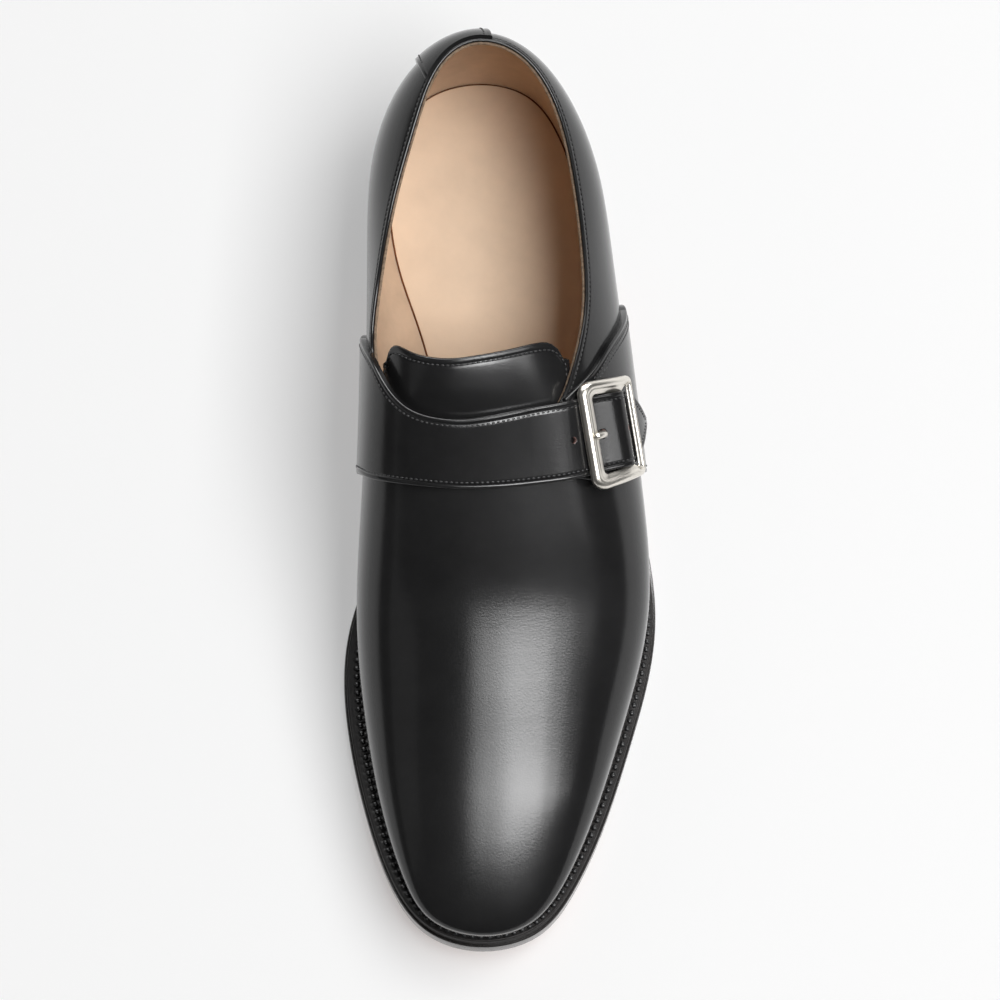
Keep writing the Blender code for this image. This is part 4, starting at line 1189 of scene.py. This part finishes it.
def frame_net():
    """Net of the buckle's frame: sections along its straight sides and round its corners."""
    out_of = closed_spline([point[0] for point in FRAME_SECTION])
    height_of = closed_spline([point[1] for point in FRAME_SECTION])
    round_section = np.linspace(0, 360, 48, endpoint=False)
    out = out_of(round_section)
    high = height_of(round_section)
    corners = []
    lifts = []
    for corner, signs in enumerate(((1, 1), (-1, 1), (-1, -1), (1, -1))):
        half = np.array([FRAME_HALF[0], FRAME_HALF[1] * (1 - FRAME_TAPER * (signs[0] > 0))])
        for angle in np.radians(90 * corner + np.linspace(0, 90, 13)):
            way = np.array([np.cos(angle), np.sin(angle)])
            outer_end = max(way[0], 0.0)
            wide = out.max() - (out.max() - out) * (1 - FRAME_NARROW * outer_end)
            radius = FRAME_CORNER + CORNER_GROWTH * (wide - wide.min())
            centre = np.array(signs) * (half + (wide - radius)[:, None])
            corners.append(centre + radius[:, None] * way)
            lifts.append(high * (1 - FRAME_SINK * outer_end))
    spots = []
    heights = []
    for corner, (here, lift) in enumerate(zip(corners, lifts)):
        following = corners[(corner + 1) % len(corners)]
        count = 16 if np.linalg.norm(following - here, axis=-1).max() > np.min(FRAME_HALF) else 1
        spots += [here + (following - here) * share for share in np.arange(count) / count]
        heights += [FRAME_LOW + lift] * count
    spots = np.array(spots)
    return buckle_point(spots[..., 0], spots[..., 1], np.array(heights))


def rod_net(path, radii, side, sides=16):
    """Net of a round rod along a path that bends in the plane square to side, closed at both ends."""
    ways = unit(np.gradient(path, axis=0))
    up = unit(np.cross(ways, side))
    angles = np.arange(sides) * 2 * np.pi / sides
    ring = np.cos(angles)[None, :, None] * side + np.sin(angles)[None, :, None] * up[:, None, :]
    body = path[:, None, :] + ring * np.asarray(radii)[:, None, None]
    ends = [np.repeat(point[None, None, :], sides, 1) for point in (path[0], path[-1])]
    return np.concatenate([ends[0], body, ends[1]], 0)


def build_buckle(look):
    """Arched frame, centre bar and prong."""
    wire = grid_piece("buckle_wire", frame_net(), [look["polished_nickel"]],
                      closed_rows=True, closed_columns=True)
    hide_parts("buckle_frame")
    b = np.linspace(-FRAME_HALF[1], FRAME_HALF[1], 9)
    middle_line = buckle_point(0 * b, b, 0 * b + BAR_HEIGHT)
    # the bar takes the black edge finish instead of nickel: painted shade where it lies between strap and
    # frame
    bar = grid_piece("buckle_bar", rod_net(middle_line, 0 * b + BAR_RADIUS, STRAP_WAY),
                     [look["black_edge"]], closed_columns=True)
    steps = np.linspace(0, 1, 48)
    knots = np.linspace(0, 1, len(PRONG))
    route = [spline([(k, point[i]) for k, point in zip(knots, PRONG)], 1, 0.0, PRONG_SLOPE[i])(steps)
             for i in (0, 1)]
    path = buckle_point(route[0], 0 * steps, route[1])
    to_tip = np.clip((steps - 1 + PRONG_BLUNT) / PRONG_BLUNT, 0, 1)
    radii = PRONG_RADIUS * np.sqrt(np.clip(1 - to_tip ** 2, 0.02, 1))
    pin = grid_piece("buckle_pin", rod_net(path, radii, BAR_WAY), [look["polished_nickel"]],
                     closed_columns=True)
    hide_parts("buckle_prong")


def build_sock(look):
    """Sock-covered insole, with its edge turned down beside the lining; that edge band is coloured darker
    as painted shade of the gap.
    """
    turn = np.linspace(0, 180, 200)[:, None]
    section = closed_section(SOCK_RIMS, 18)
    share, inset, height = section.T[:, None, :]
    x, y = plan(turn, 360 - turn, share, inset + SEAT(turn) + WALL + CLEAR)
    net = np.stack([x, y, tread(y) + OUTSOLE + GAP + height], -1)
    # the sock's edge columns take the darker edge finish, painted shade where sock and lining meet
    piece = grid_piece("sock", net, [look["tan_sock"], look["sock_edge"]], closed_columns=True,
                       column_bands=((0, 1), (2, 0), (len(section) // 2 - 3, 1)))
    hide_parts("insole")


def edge_strip(name, start, end, count, look, wheel):
    """Welt or rand: a strip on the outsole with rounded edges, and wheel marks where it is stitched."""
    sizes = bpy.context.scene.shoe_sizes
    turn = np.linspace(start, end, count)[:, None]
    low, high = OUTSOLE + BEDDED, OUTSOLE + GAP + WELT
    share, room, drop = np.array(WELT_SECTION).T[:, None, :]
    inset = WELT_INSET + room + share * (SEAT(turn) - CLEAR - WELT_INSET)
    path = on_sole(turn[:, 0], WELT_INSET + MARK_PATH, 0.0)
    phase = length_along(path)[:, None] / (sizes.welt_pitch / MM) - MARK_SLANT * share
    notch = np.clip(0.5 + 0.5 * np.cos(2 * np.pi * phase), 0, 1) ** 3
    rim = share - MARK_SHIFT * smooth_step(turn, *TOE_TURNS)
    notch = notch * smooth_step(rim, 0.05, 0.25) * smooth_step(1.05 - share, 0.0, 0.2)
    top = high - drop - wheel * notch * sizes.wheel_depth / MM
    x, y = sole_edge(turn, inset)
    upper_side = stand(x, y, top)
    under_side = stand(x, y, low)
    net = np.concatenate([upper_side, under_side[:, ::-1]], 1)
    middle = (upper_side + under_side)[[0, -1]] / 2
    caps = np.concatenate([middle, middle[:, ::-1]], 1)
    net = np.concatenate([caps[:1], net, caps[1:]], 0)
    return grid_piece(name, net, [look["black_edge"]], closed_columns=True)


def build_welt(look):
    """Welt with its wheel marks and stitches, and the plain rand round the heel."""
    sizes = bpy.context.scene.shoe_sizes
    start, end = BREAST_OUT + JOINT, 360 - BREAST_IN - JOINT
    welt = edge_strip("welt_strip", start, end, 1500, look, 1.0)
    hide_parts("welt")
    rand = edge_strip("heel_rand_strip", -BREAST_IN, BREAST_OUT, 240, look, 0.0)
    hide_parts("heel_rand")
    turn = np.linspace(start, end, 1200)
    row = WELT_ROW[0] + (WELT_ROW[1] - WELT_ROW[0]) * smooth_step(turn, *TOE_TURNS)
    inset = WELT_INSET + row * (SEAT(turn) - WELT_INSET)
    path = on_sole(turn, inset, OUTSOLE + GAP + WELT - BEDDED)
    up = np.tile([0.0, 0.0, 1.0], (len(turn), 1))
    places = stitches(path, up, sizes.welt_pitch / MM, WELT_BEAD, slant=0.5, share=0.82)
    thread = bead_piece("welt_stitches", places, look["black_thread"])


def channel_inset(turn):
    """Outsole stitch line inside the sole's edge."""
    return by_side(turn, CHANNEL_IN, CHANNEL_OUT)


def build_outsole(look):
    """Leather outsole: dressed edge, stitch channel, wheeled line and plain middle."""
    sizes = bpy.context.scene.shoe_sizes
    turn = np.linspace(0, 180, 600)[:, None]
    rounding = np.radians(np.linspace(0, 90, 5))
    # rings from the edge inwards: 0 edge (inset, lift), 1 channel (offset, depth) or 2 flat (inset, 0)
    rings = [(0, EDGE_BEVEL * (1 - np.cos(t)), EDGE_BEVEL * (1 - np.sin(t))) for t in rounding]
    rings += [(0, 1.6, 0.0)]
    rings += [(1, offset, depth) for offset, depth in CHANNEL_SECTION]
    rings += [(2, inset, 0.0) for inset in np.linspace(FLAT_RING, SOLE_MIDDLE, 15)]
    share, kind, first, second = np.array(across_strip(rings, 22)).T[:, None, :]
    channel = channel_inset(np.where(share < 0.5, 360 - turn, turn))
    inset = np.where(kind == 1, channel + first, first)
    x, y = plan(turn, 360 - turn, share, inset)
    open_channel = smooth_step(turn, *CHANNEL_ENDS)
    sunk = np.where(kind == 1, second * sizes.channel_depth / MM * open_channel, 0.0)
    edge_lift = np.where(kind == 0, second, 0.0)
    lengths = length_along(on_sole(turn[:, 0], 10.0, 0.0))[:, None]
    tooth = np.abs(np.mod(lengths / WHEEL_TOOTH[0], 1.0) - 0.5) * 2 * WHEEL_TOOTH[1]
    wheeled = np.clip(1 - np.abs(inset - WHEEL_LINE - tooth) / WHEEL_HALF, 0, 1) * (kind == 2)
    wheeled = wheeled * smooth_step(turn, *WHEEL_ENDS) * ((share == 0) | (share == 1))
    under = stand(x, y, edge_lift + sunk + WHEEL_SUNK * wheeled)
    top = stand(x, y, OUTSOLE - np.where(inset < 0.1, 0.25, 0.0))
    stained = smooth_step(channel - inset, *BORDER_FADE) * open_channel * (kind < 2)
    pressed = np.clip(PRESSED_DARK[0] * wheeled + PRESSED_DARK[1] * (sunk > 0.1), 0, 1)
    net = np.concatenate([under, top[:, ::-1]], 1)
    blank = np.zeros(under.shape[:2])
    marks = {"border": np.concatenate([stained, blank], 1),
             "pressed": np.concatenate([pressed, blank], 1)}
    dressed = len(rounding)
    piece = grid_piece("outsole_leather", net, [look["waxed_sole"], look["polished_edge"]],
                       closed_columns=True, marks=marks,
                       column_bands=((0, 1), (dressed, 0), (under.shape[1] - dressed - 1, 1)))
    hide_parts("outsole")
    turn = np.linspace(BREAST_OUT + STITCH_END, 360 - BREAST_IN - STITCH_END, 1200)
    path = on_sole(turn, channel_inset(turn), SOLE_STITCH)
    down = np.tile([0.0, 0.0, -1.0], (len(turn), 1))
    places = stitches(path, down, sizes.sole_pitch / MM, SOLE_BEAD, slant=0.45, share=0.8)
    thread = bead_piece("sole_stitches", places, look["sole_thread"])


def heel_plan(steps, share, inset):
    """Places in plan of the heel: steps 0 at the breast, 1 at the back."""
    turn_out = BREAST_OUT * (1 - steps)
    turn_in = 360 - BREAST_IN * (1 - steps)
    x, y = plan(turn_out, turn_in, share, inset)
    return x, y + BREAST_HOLLOW * 4 * share * (1 - share) * (1 - steps) ** 4


def heel_net(low, high, insets, walls, scribe):
    """Net of a heel layer between two height functions, closed at the breast.

    insets are those of its lower and upper edge, walls its (level, depth) lines from below to above.
    """
    steps = np.concatenate([[0.0], np.linspace(0, 1, 110)])[:, None]
    # edge and scribed line of the underside: inset, drop
    rims = [(0.0, 0.35), (0.1, 0.1), (0.35, 0.0)]
    rims += [(3.9, 0.0), (4.3, scribe), (4.6, scribe), (5.0, 0.0), (8.0, 0.0)]
    share, inset, drop = np.array(across_strip(rims, 18)).T[:, None, :]
    behind = steps * (HEEL_END - HEEL_SEAT)
    lined = scribe * np.exp(-((behind - SCRIBE_LINE[0]) / SCRIBE_LINE[1]) ** 2) * (inset > 4.0)
    x, y = heel_plan(steps, share, inset + insets[0])
    floor = np.stack([x, y, low(y) + np.maximum(drop, lined)], -1)
    x, y = heel_plan(steps, share, inset + insets[1])
    roof_net = np.stack([x, y, high(y) + 0 * x], -1)

    def wall(side):
        """Lines of one side wall, from below to above."""
        lines = []
        for level, depth in walls:
            inset = insets[0] + (insets[1] - insets[0]) * level + depth
            x, y = heel_plan(steps, np.array([[side]]), inset)
            lines.append(np.concatenate([x, y, low(y) * (1 - level) + high(y) * level], 1))
        return np.stack(lines, 1)
    net = np.concatenate([floor, wall(1.0), roof_net[:, ::-1], wall(0.0)[:, ::-1]], 1)
    x, y = heel_plan(np.array([[0.0]]), share, inset + sum(insets) / 2)
    middle = np.stack([x, y, (low(y) + high(y)) / 2], -1)[0]
    net[0] = np.concatenate([middle, np.repeat(middle[-1:], len(walls), 0), middle[::-1],
                             np.repeat(middle[:1], len(walls), 0)], 0)
    return net, floor.shape[1]


def seat_plane(y):
    """Underside of the heel seat."""
    return SEAT_HEIGHT + SEAT_SLOPE * (y - HEEL_SEAT) - GLUE


def dovetail_tool(grow, look):
    """Tool behind the dovetailed line across the lowest lift, grown towards the breast."""
    line = np.array(DOVETAIL)
    ways = unit(np.diff(line, axis=0))
    sides = np.stack([ways[:, 1], -ways[:, 0]], -1)
    corners = []
    for i, corner in enumerate(line):
        before, after = sides[max(i - 1, 0)], sides[min(i, len(sides) - 1)]
        corners.append(corner - grow * (before + after) / (1 + before.dot(after)))
    far = HEEL_END + LIFT
    outline = corners + [(-far, corners[-1][1]), (-far, far), (far, far), (far, corners[0][1])]
    bm = bmesh.new()
    bmesh.ops.create_circle(bm, cap_ends=True, segments=len(outline), radius=1.0)
    for vert, (x, y) in zip(bm.verts, outline):
        vert.co = (x, y, -LIFT)
    made = bmesh.ops.extrude_face_region(bm, geom=bm.faces[:])
    raised_verts = [item for item in made["geom"] if isinstance(item, bmesh.types.BMVert)]
    bmesh.ops.translate(bm, verts=raised_verts, vec=(0, 0, 3 * LIFT))
    return finish("dovetail_tool", bm, [look["black_rubber"]])


def build_heel(look):
    """Stacked lifts, and the lowest lift of leather and dovetailed rubber."""
    lines = [((lift + level) / HEEL_LIFTS, depth)
             for lift in range(HEEL_LIFTS) for level, depth in LIFT_SIDE]
    net, _ = heel_net(lambda y: 0 * y + LIFT + GLUE, seat_plane, (HEEL_TAPER, 0.0), lines, 0.0)
    stack = grid_piece("heel_lifts", net, [look["black_edge"], look["breast_leather"]],
                       closed_columns=True, row_bands=((0, 1), (1, 0)))
    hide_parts("heel_stack")
    net, floor_count = heel_net(lambda y: 0 * y, lambda y: 0 * y + LIFT, (HEEL_TAPER, HEEL_TAPER),
                                LOW_LIFT_SIDE, SCRIBE)
    # the two parts of the lowest lift: piece, finish, cut, joint, solid and slot
    parts = (("heel_leather_lift", "heel_leather", "DIFFERENCE", DOVETAIL_JOINT, "heel_top_piece",
              "sole_leather"),
             ("heel_rubber_lift", "black_rubber", "INTERSECT", 0.0, "heel_rubber_quarter", "heel_rubber"))
    for name, finish_name, operation, grow, cad_node, slot in parts:
        piece = grid_piece(name, net, [look[finish_name], look["black_edge"]], closed_columns=True,
                           column_bands=((0, 0), (floor_count - 1, 1)))
        cut(piece, dovetail_tool(grow, look), operation)
        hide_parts(cad_node)


def build_nails(look):
    """Brass nails in two curved rows on the lowest lift."""
    places = []
    for share, inset, first, last, count in NAIL_ROWS:
        x, y = heel_plan(np.linspace(first, last, count)[:, None], np.array([[share]]), inset)
        for spot in zip(x[:, 0], y[:, 0]):
            places.append(np.column_stack([np.diag(NAIL), (*spot, NAIL_HEIGHT)]))
    piece = bead_piece("heel_nails", np.array(places), look["brass"], segments=12, rings=8)


FLOOR_GLOW = 0.4          # light table under the pale floor
FLOOR_HALF = 4.0
AIR_LIGHT = 0.06          # light that comes from all round
KEY_HEIGHT = 2.6
KEY_DEPTH = 0.9
KEY_STEP = 0.01           # height between the key's layers
KEY_TWIST = 0.03          # radians by which the key's boxes turn round the upright
KEY_EDGE = -0.382         # the key's toe-side edge for each metre of height, above the shoe's middle line
# The key's layers: how far across from and to, for each metre of height, and power
KEY_LAYERS = ((-0.09, 1.35, 55.0), (0.0, 0.74, 28.5), (0.08, 0.46, 19.0))
# The other soft boxes: name, place, size, power, mirrored in gloss, lights the shoe
STUDIO_BOXES = (
    ("left_box", (-2.4, -0.55, 1.6), (0.9, 1.6), 1.0, True, True),
    ("back_box", (0.0, 2.4, 1.9), (3.4, 1.6), 155.0, True, False),
    ("fill_box", (1.1, -0.05, 2.6), (2.7, 1.5), 82.0, False, True),
)
WHITE = (1.0, 1.0, 1.0, 1.0)


def soft_box(name, middle, aim, size, power, mirrored, lights, twist=0.0):
    """Soft box at a place, turned towards an aim; it may show in gloss only, or light without gloss."""
    data = bpy.data.lights.new(name, "AREA")
    data.shape = "RECTANGLE"
    data.size, data.size_y = size
    data.energy = power
    lamp = bpy.data.objects.new(name, data)
    lamp.location = middle
    turned = (Vector(middle) - Vector(aim)).to_track_quat("Z", "Y")
    lamp.rotation_euler = (turned @ Quaternion((0.0, 0.0, 1.0), twist)).to_euler()
    lamp.visible_glossy = mirrored
    lamp.visible_diffuse = lights
    bpy.context.collection.objects.link(lamp)


def build_stage():
    """Pale floor, soft studio light and the camera."""
    settings = bpy.context.scene.stage_settings
    tint = bpy.context.scene.shoe_colours
    tree, shader = new_material("studio_floor")
    put(shader["Base Color"], mottled(tree, tint.floor, 0.995, 1.0, 3.0)["Color"])
    put(shader["Emission Color"], WHITE)
    put(shader["Emission Strength"], FLOOR_GLOW)
    put(shader["Roughness"], 0.8)
    bm = bmesh.new()
    bmesh.ops.create_grid(bm, x_segments=4, y_segments=4, size=FLOOR_HALF)
    mesh = bpy.data.meshes.new("studio_floor")
    bm.to_mesh(mesh)
    bm.free()
    mesh.materials.append(bpy.data.materials["studio_floor"])
    floor = bpy.data.objects.new("studio_floor", mesh)
    bpy.context.collection.objects.link(floor)
    world = bpy.data.worlds.new("studio_air")
    world.use_nodes = True
    air = world.node_tree.nodes["Background"].inputs
    put(air["Color"], WHITE)
    put(air["Strength"], AIR_LIGHT)
    bpy.context.scene.world = world
    target = Vector((0.0, 0.0, settings.aim_height)) + Vector(PLAN_SHIFT) * MM
    for layer, (near, far_side, power) in enumerate(KEY_LAYERS):
        across = KEY_HEIGHT * (near + far_side) / 2
        along = KEY_HEIGHT * KEY_EDGE + KEY_TWIST * across + KEY_DEPTH / 2
        soft_box(f"key_box_{layer}", (across, along, KEY_HEIGHT - KEY_STEP * layer), (across, along, 0.0),
                 (KEY_HEIGHT * (far_side - near), KEY_DEPTH), power, True, False, twist=KEY_TWIST)
    for name, middle, size, power, mirrored, lights in STUDIO_BOXES:
        soft_box(name, middle, target, size, power, mirrored, lights)
    back = Vector((0.0, -np.cos(settings.elevation), np.sin(settings.elevation)))
    data = bpy.data.cameras.new("photo_view")
    data.lens = settings.lens
    data.sensor_width = 36.0
    data.clip_end = 50.0
    camera = bpy.data.objects.new("photo_view", data)
    camera.location = target + back * settings.distance
    camera.rotation_euler = back.to_track_quat("Z", "Y").to_euler()
    bpy.context.collection.objects.link(camera)
    bpy.context.scene.camera = camera
    bpy.context.scene.view_settings.view_transform = "Standard"


class SHOE_OT_upper(bpy.types.Operator):
    """Make the upper with its rolled collar edge and lining"""
    bl_idname = "shoe.upper"
    bl_label = "Upper"

    def execute(self, context):
        build_upper(finishes())
        return {"FINISHED"}


class SHOE_OT_tongue(bpy.types.Operator):
    """Make the tongue"""
    bl_idname = "shoe.tongue"
    bl_label = "Tongue"

    def execute(self, context):
        build_tongue(finishes())
        return {"FINISHED"}


class SHOE_OT_straps(bpy.types.Operator):
    """Make the strap, the buckle tab and the back strap"""
    bl_idname = "shoe.straps"
    bl_label = "Straps"

    def execute(self, context):
        look = finishes()
        build_strap(look)
        build_tab(look)
        build_back_strap(look)
        return {"FINISHED"}


class SHOE_OT_seams(bpy.types.Operator):
    """Sew the stitch rows of the upper"""
    bl_idname = "shoe.seams"
    bl_label = "Upper seams"

    def execute(self, context):
        build_upper_seams(finishes())
        return {"FINISHED"}


class SHOE_OT_buckle(bpy.types.Operator):
    """Make the buckle's frame, bar and prong"""
    bl_idname = "shoe.buckle"
    bl_label = "Buckle"

    def execute(self, context):
        build_buckle(finishes())
        return {"FINISHED"}


class SHOE_OT_sock(bpy.types.Operator):
    """Lay the sock on the insole"""
    bl_idname = "shoe.sock"
    bl_label = "Sock"

    def execute(self, context):
        build_sock(finishes())
        return {"FINISHED"}


class SHOE_OT_welt(bpy.types.Operator):
    """Make the stitched welt and the heel rand"""
    bl_idname = "shoe.welt"
    bl_label = "Welt and rand"

    def execute(self, context):
        build_welt(finishes())
        return {"FINISHED"}


class SHOE_OT_outsole(bpy.types.Operator):
    """Make the outsole with its channel stitching"""
    bl_idname = "shoe.outsole"
    bl_label = "Outsole"

    def execute(self, context):
        build_outsole(finishes())
        return {"FINISHED"}


class SHOE_OT_heel(bpy.types.Operator):
    """Make the heel's lifts, rubber quarter and nails"""
    bl_idname = "shoe.heel"
    bl_label = "Heel"

    def execute(self, context):
        look = finishes()
        build_heel(look)
        build_nails(look)
        return {"FINISHED"}


class SHOE_OT_stage(bpy.types.Operator):
    """Set up the floor, the light and the camera"""
    bl_idname = "shoe.stage"
    bl_label = "Stage"

    def execute(self, context):
        build_stage()
        return {"FINISHED"}


OPERATORS = (SHOE_OT_upper, SHOE_OT_tongue, SHOE_OT_straps, SHOE_OT_seams, SHOE_OT_buckle, SHOE_OT_sock,
             SHOE_OT_welt, SHOE_OT_outsole, SHOE_OT_heel, SHOE_OT_stage)


class SHOE_PT_panel(bpy.types.Panel):
    """Sidebar panel with every step of the shoe"""
    bl_idname = "SHOE_PT_panel"
    bl_label = "Monk strap shoe"
    bl_space_type = "VIEW_3D"
    bl_region_type = "UI"
    bl_category = "Shoe"

    def draw(self, context):
        for operator in OPERATORS:
            self.layout.operator(operator.bl_idname)


CLASSES = (ShoeSizes, ShoeColours, StageSettings) + OPERATORS + (SHOE_PT_panel,)


def register():
    """Register the classes and their settings on the scene."""
    for cls in CLASSES:
        bpy.utils.register_class(cls)
    bpy.types.Scene.shoe_sizes = bpy.props.PointerProperty(type=ShoeSizes)
    bpy.types.Scene.shoe_colours = bpy.props.PointerProperty(type=ShoeColours)
    bpy.types.Scene.stage_settings = bpy.props.PointerProperty(type=StageSettings)


def unregister():
    """Undo register."""
    del bpy.types.Scene.stage_settings
    del bpy.types.Scene.shoe_colours
    del bpy.types.Scene.shoe_sizes
    for cls in reversed(CLASSES):
        bpy.utils.unregister_class(cls)


def main():
    """Build the shoe and its stage."""
    register()
    bpy.ops.shoe.upper()
    bpy.ops.shoe.tongue()
    bpy.ops.shoe.straps()
    bpy.ops.shoe.seams()
    bpy.ops.shoe.buckle()
    bpy.ops.shoe.sock()
    bpy.ops.shoe.welt()
    bpy.ops.shoe.outsole()
    bpy.ops.shoe.heel()
    bpy.ops.shoe.stage()


if __name__ == "__main__":
    main()
